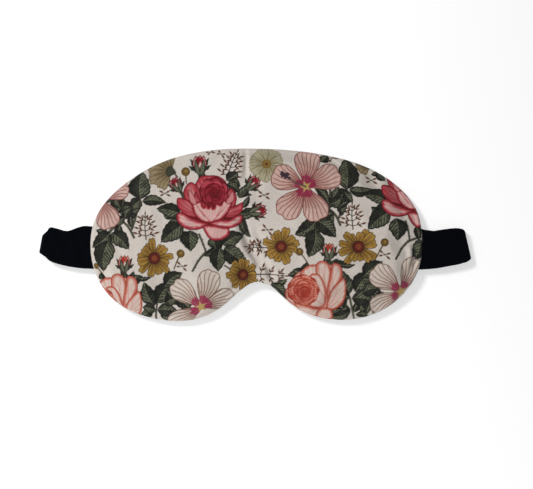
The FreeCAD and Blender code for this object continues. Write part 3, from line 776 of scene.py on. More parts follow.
RIM = curve(EDGE, closed=True, n=8)
_a = np.arctan2(RIM[:, 1] - HUB[1], RIM[:, 0] - HUB[0])
_o = np.argsort(_a)
_ang = np.concatenate([_a[_o] - 2 * math.pi, _a[_o], _a[_o] + 2 * math.pi])
_rad = np.tile(np.hypot(*(RIM - HUB)[_o].T), 3)
RIM_N = np.stack([np.roll(RIM, -1, 0)[:, 1] - np.roll(RIM, 1, 0)[:, 1],
                  np.roll(RIM, 1, 0)[:, 0] - np.roll(RIM, -1, 0)[:, 0]], 1)
RIM_N /= np.hypot(*RIM_N.T)[:, None]
if (RIM_N * (RIM - HUB)).sum() < 0:
    RIM_N = -RIM_N


def to_rim(p):
    """Distance inwards from the edge line, and the outward direction."""
    d = np.empty(len(p))
    n = np.empty((len(p), 2))
    a, e = RIM, np.roll(RIM, -1, 0) - RIM
    ee = (e * e).sum(1)
    nb = np.roll(RIM_N, -1, 0)
    for k in range(0, len(p), 20000):
        q = p[k:k + 20000]
        near = np.hypot(q[:, None, 0] - a[None, ::4, 0], q[:, None, 1] - a[None, ::4, 1]).argmin(1) * 4
        idx = (near[:, None] + np.arange(-7, 7)[None]) % len(a)
        w = q[:, None] - a[idx]
        t = np.clip((w * e[idx]).sum(2) / ee[idx], 0, 1)
        r = w - t[..., None] * e[idx]
        dd = np.sqrt((r * r).sum(2))
        j = dd.argmin(1)
        i = np.arange(len(q))
        d[k:k + 20000] = dd[i, j]
        f = t[i, j][:, None]
        n[k:k + 20000] = RIM_N[idx[i, j]] * (1 - f) + nb[idx[i, j]] * f
    return d, n / np.maximum(np.hypot(*n.T), 1e-9)[:, None]


def disc(nu, nv, pack=0.02):
    """A square grid laid over the outline; rows close up towards the edge."""
    u = np.linspace(-1, 1, nu + 1)
    v = np.linspace(-1, 1, nv + 1)
    v, u = np.meshgrid(v, u, indexing="ij")
    x = u * np.sqrt(1 - v * v / 2)
    y = v * np.sqrt(1 - u * u / 2)
    r = np.minimum(np.hypot(x, y), 1).ravel()
    th = np.arctan2(0.5 * y, x).ravel()
    s = 1 - r
    r = 1 - s * s / (s + pack) * (1 + pack)
    R = np.interp(th, _ang, _rad)
    return HUB + (r * R)[:, None] * np.stack([np.cos(th), np.sin(th)], 1), r


def grid_faces(nu, nv, up=True):
    i = np.arange(nv)[:, None] * (nu + 1) + np.arange(nu)[None]
    i = i.ravel()
    f = np.stack([i, i + 1, i + nu + 2, i + nu + 1], 1)
    return f if up else f[:, ::-1]


def grid_loop(nu, nv):
    """Vertices round the edge of the grid, counter-clockwise seen from above."""
    w = nu + 1
    return np.array(list(range(0, nu)) + [nu + w * k for k in range(nv)]
                    + [nv * w + nu - k for k in range(nu)] + [nv * w - w * k for k in range(nv)])


def droop(p):
    """The strap beneath lifts the middle; the cloth sinks beyond it."""
    away = np.abs(p[:, 1] - STRAP_Y)
    return 1.7 * step(away, STRAP_W / 2 + 4, STRAP_W / 2 + 30)


def ridge(p, line, width, height):
    """A soft crease along a line of points, fading at its ends."""
    v = curve(line, n=5)
    a, b = v[:-1], v[1:]
    e = b - a
    ee = (e * e).sum(1)
    box = (np.abs(p - v.mean(0)) < np.abs(v - v.mean(0)).max(0) + 4 * width).all(1)
    out = np.zeros(len(p))
    k = np.nonzero(box)[0]
    if not len(k):
        return out
    w = p[k][:, None] - a[None]
    t = np.clip((w * e).sum(2) / ee, 0, 1)
    d = np.sqrt(((w - t[..., None] * e) ** 2).sum(2))
    j = d.argmin(1)
    s = (j + t[np.arange(len(k)), j]) / len(a)
    out[k] = height * np.exp(-(d[np.arange(len(k)), j] / width) ** 2) * np.sin(np.pi * np.clip(s, 0.02, 0.98)) ** 0.6
    return out


ROLL = 8.5          # width of the rolled edge
EDGE_UP = 0.95      # the widest point sits this far above the seam


def creases(p):
    """Folds the photograph shows, mostly where the nose bridge pulls the cloth."""
    z = np.zeros(len(p))
    for line, w, h in CREASES:
        z += ridge(p, line, w, h)
    return z


def front_height(p, d, r):
    crown = Z_TOP - Z_SEAM - EDGE_UP - 1.2
    # the roll is widest along the upper edge, where the cloth is eased
    # and the right end falls away more gently
    k = np.clip(d / (ROLL + 5.5 * step(p[:, 1], 0, 45) + 8.0 * step(p[:, 0], 50, 98)), 0, 1)
    h = crown * np.sqrt(np.clip(1 - (1 - k) ** 2.1, 0, 1))
    lobe = np.exp(-((np.abs(p[:, 0]) - 55) / 38) ** 2 - ((p[:, 1] + 2) / 34) ** 2)
    h += 1.25 * lobe * step(d, 3, 20)
    bridge = np.exp(-(p[:, 0] / 20) ** 2) * step(-p[:, 1], -20, 30)
    h -= 1.3 * bridge * step(d, 0.5, 7)
    return Z_SEAM + EDGE_UP + h


def back_height(p, d, r):
    k = np.clip(d / 3.2, 0, 1)
    drop = (Z_SEAM - 0.55 - Z_BACK) * np.sqrt(np.clip(1 - (1 - k) ** 2, 0, 1))
    return Z_SEAM - 0.55 - drop

# ------------------------------------------------------------------ meshes --

def new_mesh(name, verts, faces, smooth=True):
    me = bpy.data.meshes.new(name)
    me.from_pydata([tuple(v) for v in np.asarray(verts) * MM] if len(verts) < 60000 else
                   (np.asarray(verts) * MM).tolist(), [], faces)
    me.update()
    me.polygons.foreach_set("use_smooth", np.full(len(me.polygons), smooth, bool))
    rest = me.attributes.new("rest", "FLOAT_VECTOR", "POINT")
    co = np.empty(len(me.vertices) * 3, np.float32)
    me.vertices.foreach_get("co", co)
    rest.data.foreach_set("vector", co)
    o = bpy.data.objects.new(name, me)
    bpy.context.scene.collection.objects.link(o)
    return o


def cap_faces(loop_xy, inner_xy):
    """Triangles that fill a loop, with some points inside it."""
    pts = [Vector(p) for p in loop_xy] + [Vector(p) for p in inner_xy]
    n = len(loop_xy)
    v, _, f, orig, _, _ = delaunay_2d_cdt(pts, [(i, (i + 1) % n) for i in range(n)], [], 1, 1e-6)
    back = [o[0] if o else -1 for o in orig]
    return [[back[i] for i in t] for t in f]


def cushion(name, nu, nv, height, tuck, closed_z, up=True, lift=None, pack=0.02, seam=None, cap_step=5.0):
    """A closed pad: one dense face, its edge tucked in, and a flat inner face."""
    p, r = disc(nu, nv, pack)
    d, n = to_rim(p)
    z = height(p, d, r)
    if lift is not None:
        z = z + lift(p, d, r)
    verts = [np.column_stack([p, z - droop(p)])]
    faces = grid_faces(nu, nv, up)
    loop = grid_loop(nu, nv)
    ring = loop.copy()
    base = len(p)
    lp, ln = p[loop], n[loop]
    extra = []
    for inset, zz in tuck:
        q = lp - ln * inset
        verts.append(np.column_stack([q, zz - droop(q)]))
        new = np.arange(len(loop)) + base
        base += len(loop)
        a, b = ring, np.roll(ring, -1)
        c, e = np.roll(new, -1), new
        quad = np.stack([a, e, c, b], 1) if up else np.stack([a, b, c, e], 1)
        extra.append(quad)
        ring = new
    q = verts[-1][:, :2]
    g = np.stack(np.meshgrid(np.arange(-110, 110, cap_step), np.arange(-60, 60, cap_step)), -1).reshape(-1, 2)
    gd = sd_poly(g, RIM)
    g = g[gd < -(tuck[-1][0] + cap_step * 0.6)]
    tri = cap_faces(q, g)
    ids = np.concatenate([ring, np.arange(len(g)) + base])
    verts.append(np.column_stack([g, closed_z - droop(g)]))
    flat = [[int(ids[i]) for i in t] for t in tri]
    flat = [t[::-1] for t in flat] if up else flat
    allf = faces.tolist()
    for e in extra:
        allf += e.tolist()
    return new_mesh(name, np.vstack(verts), allf + flat), p, d, n


# a light cloth simulation on a coarse copy of the cushion: the cloth is cut a
# little larger than the pad and blown up, which gives its soft buckles
SIM_U, SIM_V = 104, 56


def blur(a, width):
    k = np.arange(-int(3 * width), int(3 * width) + 1)
    g = np.exp(-(k / width) ** 2 / 2)
    g /= g.sum()
    for axis in (0, 1):
        n = a.shape[axis]
        i = np.clip(np.arange(n)[:, None] + k[None], 0, n - 1)
        a = np.moveaxis((np.moveaxis(a, axis, 0)[i] * g[None, :, None]).sum(1), 0, axis)
    return a


def buckles():
    nu, nv = SIM_U, SIM_V
    p, r = disc(nu, nv, 0.004)
    d, _ = to_rim(p)
    top = np.column_stack([p, front_height(p, d, r)])
    w = nu + 1
    edge = np.zeros(len(p), bool)
    edge[grid_loop(nu, nv)] = True
    low = np.full(len(p), -1)
    low[edge] = np.nonzero(edge)[0]
    inner = np.nonzero(~edge)[0]
    low[inner] = np.arange(len(inner)) + len(p)
    bot = np.column_stack([p[inner], np.full(len(inner), Z_SEAM - 1.5)])
    faces = grid_faces(nu, nv).tolist() + low[grid_faces(nu, nv, False)].tolist()
    me = bpy.data.meshes.new("sim")
    me.from_pydata((np.vstack([top, bot]) * 0.01).tolist(), [], faces)
    o = bpy.data.objects.new("sim", me)
    bpy.context.scene.collection.objects.link(o)
    g = o.vertex_groups.new(name="hold")
    g.add(np.nonzero(edge)[0].tolist() + list(range(len(p), len(p) + len(inner))), 1.0, "REPLACE")
    m = o.modifiers.new("cloth", "CLOTH")
    s = m.settings
    s.quality = 6
    s.mass = 0.3
    s.tension_stiffness = s.compression_stiffness = 15
    s.shear_stiffness = 5
    s.bending_stiffness = 0.25
    s.vertex_group_mass = "hold"
    s.use_pressure = True
    s.uniform_pressure_force = 0.2
    s.shrink_min = -0.06
    s.effector_weights.gravity = 0
    m.collision_settings.use_collision = False
    m.collision_settings.use_self_collision = False
    sc = bpy.context.scene
    sc.frame_start, sc.frame_end = 1, 20
    m.point_cache.frame_start, m.point_cache.frame_end = 1, 20
    for f in range(1, 21):
        sc.frame_set(f)
    e = o.evaluated_get(bpy.context.evaluated_depsgraph_get())
    co = np.empty(len(e.data.vertices) * 3, np.float32)
    e.data.vertices.foreach_get("co", co)
    co = co.reshape(-1, 3)[:len(p)] * 100
    bpy.data.objects.remove(o)
    bpy.data.meshes.remove(me)
    sc.frame_set(1)
    move = (co - top)[:, 2]
    move = np.where(np.isfinite(move), move, 0).reshape(nv + 1, nu + 1)
    # the swelling itself is in front_height; only the buckles are kept
    return np.clip(blur(move, 1.1) - blur(move, 6.0), -1.3, 1.2)


def spread(field, nu, nv):
    """The coarse field on the dense grid, by smooth interpolation."""
    def up(a, n, axis):
        m = a.shape[axis] - 1
        x = np.linspace(0, m, n + 1)
        i = np.clip(x.astype(int), 0, m - 1)
        t = x - i
        a = np.moveaxis(a, axis, 0)
        g = lambda k: a[np.clip(k, 0, m)]
        t = t.reshape(-1, *([1] * (a.ndim - 1)))
        o = 0.5 * (2 * g(i) + (g(i + 1) - g(i - 1)) * t + (2 * g(i - 1) - 5 * g(i) + 4 * g(i + 1) - g(i + 2)) * t ** 2
                   + (3 * g(i) - g(i - 1) - 3 * g(i + 1) + g(i + 2)) * t ** 3)
        return np.moveaxis(o, 0, axis)
    return up(up(field, nv, 0), nu, 1)


def flattened(p, d, n):
    """Where each point of the front lay on the flat cloth: the rolled edge is let out."""
    t = np.linspace(0, 1, 80)
    h = (Z_TOP - Z_SEAM - EDGE_UP - 1.2) * np.sqrt(np.clip(1 - (1 - t) ** 2.1, 0, 1))
    arc = np.concatenate([[0], np.cumsum(np.hypot(np.diff(t * ROLL), np.diff(h)))])
    k = np.clip(d / ROLL, 0, 1)
    extra = (arc[-1] - np.interp(k, t, arc)) - (1 - k) * ROLL
    return p + n * extra[:, None]


def linear(c):
    c = np.asarray(c, float) / 255
    return np.where(c <= 0.04045, c / 12.92, ((c + 0.055) / 1.055) ** 2.4)

# ------------------------------------------------------------------- strap --
# One long band, drawn in stations. Each station is the line across the band,
# from its lower to its upper edge in plan, with its height and its outer side.

# edges of the visible upper layer in plan, from the mask to the fold
UPPER = {
    "left": dict(top=[(-98, 4.6), (-104.0, 5.2), (-109.0, 5.6), (-113.5, 4.6), (-120.2, 2.4), (-125.8, 3.7), (-130.9, 4.7), (-133.1, 2.3)],
                 low=[(-98, -21.7), (-104.0, -21.7), (-109.8, -21.5), (-115.3, -20.9), (-120.6, -20.0), (-126.6, -18.5), (-131.2, -16.7), (-133.95, -14.2)]),
    "right": dict(top=[(98, 2.6), (105.0, 2.0), (109.5, 1.9), (115.0, 2.8), (120.5, 3.6), (127.0, 4.2), (131.1, 3.6)],
                  low=[(98, -22.2), (103.5, -22.2), (109.5, -21.9), (115.5, -21.3), (121.5, -20.2), (128.4, -18.9), (133.95, -17.3)]),
}
# how far the fold bulges beyond its line, at its lower and upper end
BULGE = {"left": (1.62, 1.06), "right": (1.12, 0.50)}
# how much narrower the fold is at its tip, at its lower and upper end
ROUND = {"left": (1.9, 2.3), "right": (1.1, 0.9)}
N_ARC = 12


def stations(side, part):
    """Rows of (low x, low y, top x, top y, z, turn): turn 0 is the under layer, 180 the upper."""
    sg = -1 if side == "left" else 1
    up = UPPER[side]
    top, low = curve(up["top"], n=10), curve(up["low"], n=10)
    f_top, f_low = top[-1], low[-1]
    y0, y1 = STRAP_Y - STRAP_W / 2, STRAP_Y + STRAP_W / 2
    if part == "upper":
        return [(*low[k], *top[k], Z_HIGH, 180.0) for k in range(len(top))][::-1]
    if part == "bend":
        across = (f_top - f_low) / np.hypot(*(f_top - f_low))
        rows = []
        for k in range(N_ARC + 1):
            tip = math.sin(math.pi * k / N_ARC) ** 1.05
            rows.append((*(f_low + across * ROUND[side][0] * tip), *(f_top - across * ROUND[side][1] * tip),
                         Z_FOLD, 180.0 * k / N_ARC))
        return rows
    # under layer, from the middle of the strap out to the fold
    rows = []
    n = 100
    for k in range(n + 1):
        s = k / n
        blend = step(s, 0.72, 1.0)
        xl = sg * 0.0 + f_low[0] * s
        xt = f_top[0] * s
        xs = (f_low[0] + f_top[0]) / 2 * s
        b = step(s, 0.80, 1.0)
        # the edges stay a little inside the layer above
        inset = 0.9 * b * (1 - step(s, 0.97, 1.0))
        dip = 2.6 * math.exp(-((abs(xs) - 119) / 8) ** 2) if side == "left" else 1.0 * math.exp(-((abs(xs) - 115) / 9) ** 2)
        rows.append((xs + (xl - xs) * blend, y0 + (f_low[1] - y0) * b + inset,
                     xs + (xt - xs) * blend, y1 + (f_top[1] - y1) * b - inset - dip * (b > 0), Z_LOW, 0.0))
    return rows


def band(name, rows, outward, half, trim=0.0, seed=0, rough=1.0, across=26, bulge=(1.0, 1.0)):
    """A closed length of band. half is half its thickness; trim takes the edges in."""
    verts = []
    arc = np.radians(np.linspace(-90, 90, 9)[1:-1])
    dist = 0.0
    last = None
    for row in rows:
        lx, ly, tx, ty, z, turn = row
        lo, hi = np.array([lx, ly, 0.0]), np.array([tx, ty, 0.0])
        width = np.linalg.norm(hi - lo)
        e = (hi - lo) / width
        out = np.array([e[1], -e[0], 0.0])
        if out[0] * outward < 0:
            out = -out
        ph = math.radians(turn)
        nrm = np.array([0, 0, -math.cos(ph)]) + out * math.sin(ph)
        c = (lo + hi) / 2
        if z == Z_FOLD:
            base = np.array([c[0], c[1], Z_FOLD]) + R_FOLD * nrm
        else:
            base = np.array([c[0], c[1], z])
        if last is not None:
            dist += np.linalg.norm(base - last)
        last = base
        w = width / 2 - trim - half
        us, ns = [], []
        for a in np.linspace(-w, w, across):
            us.append(a); ns.append(half)
        for a in arc[::-1]:
            us.append(w + half * math.cos(a)); ns.append(half * math.sin(a))
        for a in np.linspace(w, -w, across):
            us.append(a); ns.append(-half)
        for a in arc:
            us.append(-w - half * math.cos(a)); ns.append(half * math.sin(a))
        us, ns = np.array(us), np.array(ns)
        v = base + e * us[:, None] + nrm * ns[:, None]
        if z == Z_FOLD:
            share = bulge[0] + (bulge[1] - bulge[0]) * (us / width + 0.5)
            v += out * ((R_FOLD + ns) * math.sin(ph) * (share - 1))[:, None]
        verts.append(v)
    verts = np.array(verts)
    k, m = verts.shape[:2]
    flat = verts.reshape(-1, 3)
    if rough:
        # soft rumples in the casing, gathered on its elastic
        q = np.column_stack([flat[:, 0] * 1.0 + flat[:, 1] * 0.35, flat[:, 1] * 0.5 - flat[:, 0] * 0.12])
        b = 0.55 * (noise(q, 5.2, seed) - 0.5) + 0.35 * (noise(q * [1.6, 0.7], 2.6, seed + 3) - 0.5)
        lowc = np.array([r[4] for r in rows]).repeat(m)
        sign = np.sign(flat[:, 2] - np.where(lowc == Z_FOLD, 99, lowc))
        keep = np.where((flat[:, 2] > Z_HIGH), 1.0, 0.35)
        keep = np.where((flat[:, 2] < Z_LOW), 0.0, keep)
        keep = np.where(lowc == Z_FOLD, 0.0, keep)
        ends = np.minimum(np.arange(k), np.arange(k)[::-1]).repeat(m)
        keep = keep * np.clip(ends / 4.0, 0, 1)
        flat[:, 2] += b * keep * rough * (sign > 0)
    faces = []
    for i in range(k - 1):
        for j in range(m):
            a, b2 = i * m + j, i * m + (j + 1) % m
            faces.append((a, b2, b2 + m, a + m))
    faces.append(tuple(range(m))[::-1])
    faces.append(tuple(range((k - 1) * m, k * m)))
    o = new_mesh(name, flat, faces)
    o.data.update()
    import bmesh
    bm = bmesh.new()
    bm.from_mesh(o.data)
    bmesh.ops.recalc_face_normals(bm, faces=bm.faces)
    bm.to_mesh(o.data)
    bm.free()
    for f in list(o.data.polygons)[-2:]:
        f.use_smooth = False
    return o


def cut(rows, x0, x1):
    """The stations whose middle lies between two distances from the mask's middle."""
    mid = [abs((r[0] + r[2]) / 2) for r in rows]
    keep = [k for k, m in enumerate(mid) if min(x0, x1) - 1e-6 <= m <= max(x0, x1) + 1e-6]
    return [rows[k] for k in keep]


def put_at(rows, x):
    """Adds a station at that distance, so that neighbouring lengths share it."""
    mid = np.array([abs((r[0] + r[2]) / 2) for r in rows])
    if mid[0] > mid[-1]:
        rows, mid = rows[::-1], mid[::-1]
    k = int(np.searchsorted(mid, x))
    if k == 0 or k >= len(rows) or abs(mid[k] - x) < 1e-4 or abs(mid[k - 1] - x) < 1e-4:
        return rows
    f = (x - mid[k - 1]) / (mid[k] - mid[k - 1])
    new = tuple(a + (b - a) * f for a, b in zip(rows[k - 1], rows[k]))
    return rows[:k] + [new] + rows[k:]


def build_strap(kind):
    """kind is casing or elastic. Casing and elastic follow the same line."""
    half = STRAP_T / 2 - 0.02 if kind == "casing" else 0.5
    trim = 0.0 if kind == "casing" else 2.4
    rough = 1.0 if kind == "casing" else 0.0
    made = []
    for side in ("left", "right"):
        sg = -1 if side == "left" else 1
        body_run, body_side = f"strap_{side}_run", f"strap_{side}_side"
        under = stations(side, "under")
        upper = stations(side, "upper")
        seed = 3 if side == "left" else 8
        tag = f"strap_{kind}_{side}"
        inner = 99.0 if side == "left" else 102.2
        a = band(f"{tag}_back", under, sg, half, trim, seed, rough)
        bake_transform(a)
        # the lower layer and the fold, where the band turns over, are fixed where they lie;
        # the upper layer rides on the strap's side body on the right, and is fixed where it lies on the left
        c = band(f"{tag}_fold", stations(side, "bend"), sg, half, trim, seed + 2, rough, bulge=BULGE[side])
        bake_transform(c)
        e = band(f"{tag}_side", cut(put_at(upper, inner), inner, 999), sg, half, trim, seed + 4, rough)
        if side == "left":
            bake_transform(e)
        else:
            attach(e, body_side)
        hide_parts(f"strap_back_{kind}", f"strap_{side}_run_{kind}")
        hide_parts(f"strap_{side}_fold_{kind}")
        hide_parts(f"strap_{side}_side_{kind}")
        made += [a, c, e]
    return made

# --------------------------------------------------------------- materials --

def material(name):
    m = bpy.data.materials.new(name)
    m.use_nodes = True
    t = m.node_tree
    b = t.nodes["Principled BSDF"]
    return m, t, b


def node(t, kind, x, y, **inputs):
    n = t.nodes.new(kind)
    n.location = (x, y)
    for k, v in inputs.items():
        n.inputs[k.replace("_", " ")].default_value = v
    return n


def placed(t, carried, x, y):
    """Where a point sits on the cloth: its rest shape, or the CAD part's own coordinates."""
    at = t.nodes.new("ShaderNodeTexCoord" if carried else "ShaderNodeAttribute")
    if not carried:
        at.attribute_name = "rest"
    at.location = (x, y)
    return at.outputs["Object" if carried else "Vector"]


def weave(t, spacing_mm, carried=False, x=-1200, y=-300):
    """Two sets of threads crossing, as a height from 0 to 1."""
    at = placed(t, carried, x - 200, y)
    wob = node(t, "ShaderNodeTexNoise", x, y - 300, Scale=260.0, Detail=2.0)
    t.links.new(at, wob.inputs["Vector"])
    out = []
    for k, way in enumerate(("X", "Y")):
        w = node(t, "ShaderNodeTexWave", x, y + 260 * k, Scale=2 * math.pi / (20 * spacing_mm * MM), Distortion=0.0)
        w.wave_type = "BANDS"
        w.bands_direction = way
        w.wave_profile = "SIN"
        ph = t.nodes.new("ShaderNodeMath")
        ph.operation = "MULTIPLY"
        ph.inputs[1].default_value = 3.0
        t.links.new(wob.outputs["Fac"], ph.inputs[0])
        t.links.new(ph.outputs[0], w.inputs["Phase Offset"])
        t.links.new(at, w.inputs["Vector"])
        out.append(w)
    mul = t.nodes.new("ShaderNodeMath")
    mul.operation = "MULTIPLY"
    mul.location = (x + 250, y)
    t.links.new(out[0].outputs["Fac"], mul.inputs[0])
    t.links.new(out[1].outputs["Fac"], mul.inputs[1])
    return at, mul


def bump(t, b, height, distance, strength=0.6, chain=None):
    n = node(t, "ShaderNodeBump", -250, -300, Strength=strength, Distance=distance)
    t.links.new(height.outputs[0], n.inputs["Height"])
    if chain:
        t.links.new(chain.outputs["Normal"], n.inputs["Normal"])
    t.links.new(n.outputs["Normal"], b.inputs["Normal"])
    return n


def ramp(t, src, lo, hi, a=0.0, b=1.0):
    r = node(t, "ShaderNodeMapRange", -500, 200)
    r.inputs["From Min"].default_value = a
    r.inputs["From Max"].default_value = b
    r.inputs["To Min"].default_value = lo
    r.inputs["To Max"].default_value = hi
    t.links.new(src, r.inputs["Value"])
    return r


def tinted(t, b, colour_out, factor_out):
    """Base colour times a factor."""
    m = t.nodes.new("ShaderNodeVectorMath")
    m.operation = "SCALE"
    t.links.new(colour_out, m.inputs[0])
    t.links.new(factor_out, m.inputs["Scale"])
    t.links.new(m.outputs[0], b.inputs["Base Color"])


def print_cloth():
    m, t, b = material("floral_cotton")
    at, w = weave(t, 0.46)
    col = t.nodes.new("ShaderNodeAttribute")
    col.attribute_name = "print"
    shade = ramp(t, w.outputs[0], 0.93, 1.05, 0.0, 0.8)
    speck = node(t, "ShaderNodeTexNoise", -900, 500, Scale=900.0, Detail=3.0)
    t.links.new(at, speck.inputs["Vector"])
    sp = ramp(t, speck.outputs["Fac"], 0.93, 1.07, 0.3, 0.7)
    mm = t.nodes.new("ShaderNodeMath")
    mm.operation = "MULTIPLY"
    t.links.new(shade.outputs[0], mm.inputs[0])
    t.links.new(sp.outputs[0], mm.inputs[1])
    tinted(t, b, col.outputs["Color"], mm.outputs[0])
    b.inputs["Roughness"].default_value = 0.86
    b.inputs["Specular IOR Level"].default_value = 0.22
    b.inputs["Sheen Weight"].default_value = 0.12
    b.inputs["Sheen Roughness"].default_value = 0.5
    slub = node(t, "ShaderNodeTexNoise", -900, -700, Scale=140.0, Detail=3.0)
    t.links.new(at, slub.inputs["Vector"])
    n1 = node(t, "ShaderNodeBump", -500, -600, Strength=0.5, Distance=0.0004)
    t.links.new(slub.outputs["Fac"], n1.inputs["Height"])
    bump(t, b, w, 0.00008, 0.7, n1)
    return m


def plain_cloth(name, colour, spacing, rough=0.9, sheen=0.3, depth=0.0001, vary=0.15, mottled=120.0, sheen_tint=None, spec=0.2,
                carried=False):
    m, t, b = material(name)
    at, w = weave(t, spacing, carried)
    no = node(t, "ShaderNodeTexNoise", -900, 500, Scale=mottled, Detail=4.0)
    t.links.new(at, no.inputs["Vector"])
    mix_ = t.nodes.new("ShaderNodeMath")
    mix_.operation = "MULTIPLY_ADD"
    mix_.inputs[1].default_value = 0.5
    t.links.new(w.outputs[0], mix_.inputs[0])
    t.links.new(no.outputs["Fac"], mix_.inputs[2])
    r = ramp(t, mix_.outputs[0], 1 - vary, 1 + vary, 0.35, 0.95)
    c = t.nodes.new("ShaderNodeRGB")
    c.outputs[0].default_value = (*colour, 1)
    tinted(t, b, c.outputs[0], r.outputs[0])
    b.inputs["Roughness"].default_value = rough
    b.inputs["Specular IOR Level"].default_value = spec
    b.inputs["Sheen Weight"].default_value = sheen
    b.inputs["Sheen Roughness"].default_value = 0.45
    if sheen_tint:
        b.inputs["Sheen Tint"].default_value = (*sheen_tint, 1)
    n1 = node(t, "ShaderNodeBump", -500, -600, Strength=0.5, Distance=0.0005)
    t.links.new(no.outputs["Fac"], n1.inputs["Height"])
    bump(t, b, w, depth, 0.8, n1)
    return m
# look settings
PRINT_GAIN = 0.90
PRINT_DEPTH = 1.13
FLOOR = 0.76
FLOOR_GLOW = 0.25
WORLD = 0.24
STRAP_COL = (0.0005, 0.0011, 0.0023)
STRAP_SHEEN = 0.02
# name, place, size, power, casts shadows
LIGHTS = [("key", (-0.62, 0.6, 0.78), 0.30, 8.76, True), ("front", (-0.4, -0.86, 0.74), 0.5, 10.22, False)]

# ---------------------------------------------------------------- assembly --

NU, NV = ((600, 320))
field = buckles()
CLOTH_MOVE = 1.0


def top_lift(p, d, r):
    z = creases(p)
    z += 0.55 * (noise(p, 24, 4) - 0.5) * step(d, 2, 12) + 0.22 * (noise(p, 9, 6) - 0.5) * step(d, 1, 6)
    if field is not None:
        z += CLOTH_MOVE * spread(field, NU, NV).ravel() * step(d, 0.0, 4.0)
    # even the deepest crease stays clear of the layers inside
    base = front_height(p, d, r)
    low = (Z_SEAM + 1.95 - base) * step(d, 4.0, 7.5) - 3.0 * (1 - step(d, 4.0, 7.5))
    return low + 0.5 * ((z - low) + np.sqrt((z - low) ** 2 + 0.25))


FRONT_TUCK = [(0.02, Z_SEAM + 0.62), (0.18, Z_SEAM + 0.34), (0.50, Z_SEAM + 0.12), (1.0, Z_SEAM + 0.03), (2.2, Z_SEAM), (4.5, Z_SEAM)]
front, fp, fd, fn = cushion("mask_front", NU, NV, front_height, FRONT_TUCK, Z_SEAM, True, top_lift)

cloth = Cloth(flattened(fp, fd, fn), (0, 0, 0))
g = cloth.p
shade = (noise(g, 16, 21) * 0.6 + noise(g, 5, 22) * 0.4)[:, None]
cloth.c[:] = np.array([207, 199, 191]) + (shade - 0.5) * np.array([7, 7, 8])
draw_print(cloth)
count = len(front.data.vertices)
rgba = np.ones((count, 4), np.float32)
rgba[:len(g), :3] = linear(np.clip(cloth.c, 0, 255)) ** PRINT_DEPTH * PRINT_GAIN
loop = grid_loop(NU, NV)
k = len(g)
for _ in FRONT_TUCK:
    rgba[k:k + len(loop), :3] = rgba[loop, :3]
    k += len(loop)
rgba[k:, :3] = np.array(linear((200, 190, 180))) ** PRINT_DEPTH * PRINT_GAIN
ca = front.data.color_attributes.new("print", "FLOAT_COLOR", "POINT")
ca.data.foreach_set("color", rgba.ravel())

BACK_TUCK = [(0.10, Z_SEAM - 0.50), (0.30, Z_SEAM - 0.30), (0.70, Z_SEAM - 0.10), (1.6, Z_SEAM - 0.05), (4.5, Z_SEAM - 0.05)]
back, bp, bd, bn = cushion("mask_back", 240, 128, back_height, BACK_TUCK, Z_SEAM - 0.05, False,
                           lambda p, d, r: 0.18 * (noise(p, 14, 31) - 0.35) * step(d, 1, 8))


def inner_pad(name, inset, z0, z1, nu=150, nv=80, cap=6.0):
    """A plain layer inside the mask, following its sag; a thick layer also keeps clear of the front's creases."""
    p, r = disc(nu, nv, 0.004)
    d, n = to_rim(p)
    c = HUB + (p - HUB) * (1 - inset / np.maximum(np.hypot(*(p - HUB).T), 1) * r)[:, None]
    d2, _ = to_rim(c)
    k_ = np.clip((d2 - inset) / 6, 0, 1)
    h = z0 + (z1 - z0) * (0.35 + 0.65 * np.sqrt(np.clip(1 - (1 - k_) ** 2, 0, 1)))
    if z1 - z0 > 2:
        h = np.maximum(np.minimum(h, front_height(c, d2, r) + creases(c) - 2.7), z0 + 0.25)
    lo = np.column_stack([c, z0 - droop(c)])
    hi = np.column_stack([c, h - droop(c)])
    m_ = len(c)
    faces = grid_faces(nu, nv).tolist() + (grid_faces(nu, nv, False) + m_).tolist()
    loop_ = grid_loop(nu, nv)
    a_, b_ = loop_, np.roll(loop_, -1)
    faces += np.stack([a_ + m_, b_ + m_, b_, a_], 1).tolist()
    return new_mesh(name, np.vstack([hi, lo]), faces)


wad = inner_pad("wadding_front", 6.2, Z_SEAM + 0.75, Z_TOP - 1.6)
lining = inner_pad("blackout_lining", 6.0, Z_SEAM + 0.1, Z_SEAM + 0.6)
wad_back = inner_pad("wadding_back", 6.0, Z_BACK + 0.45, Z_SEAM - 0.25)


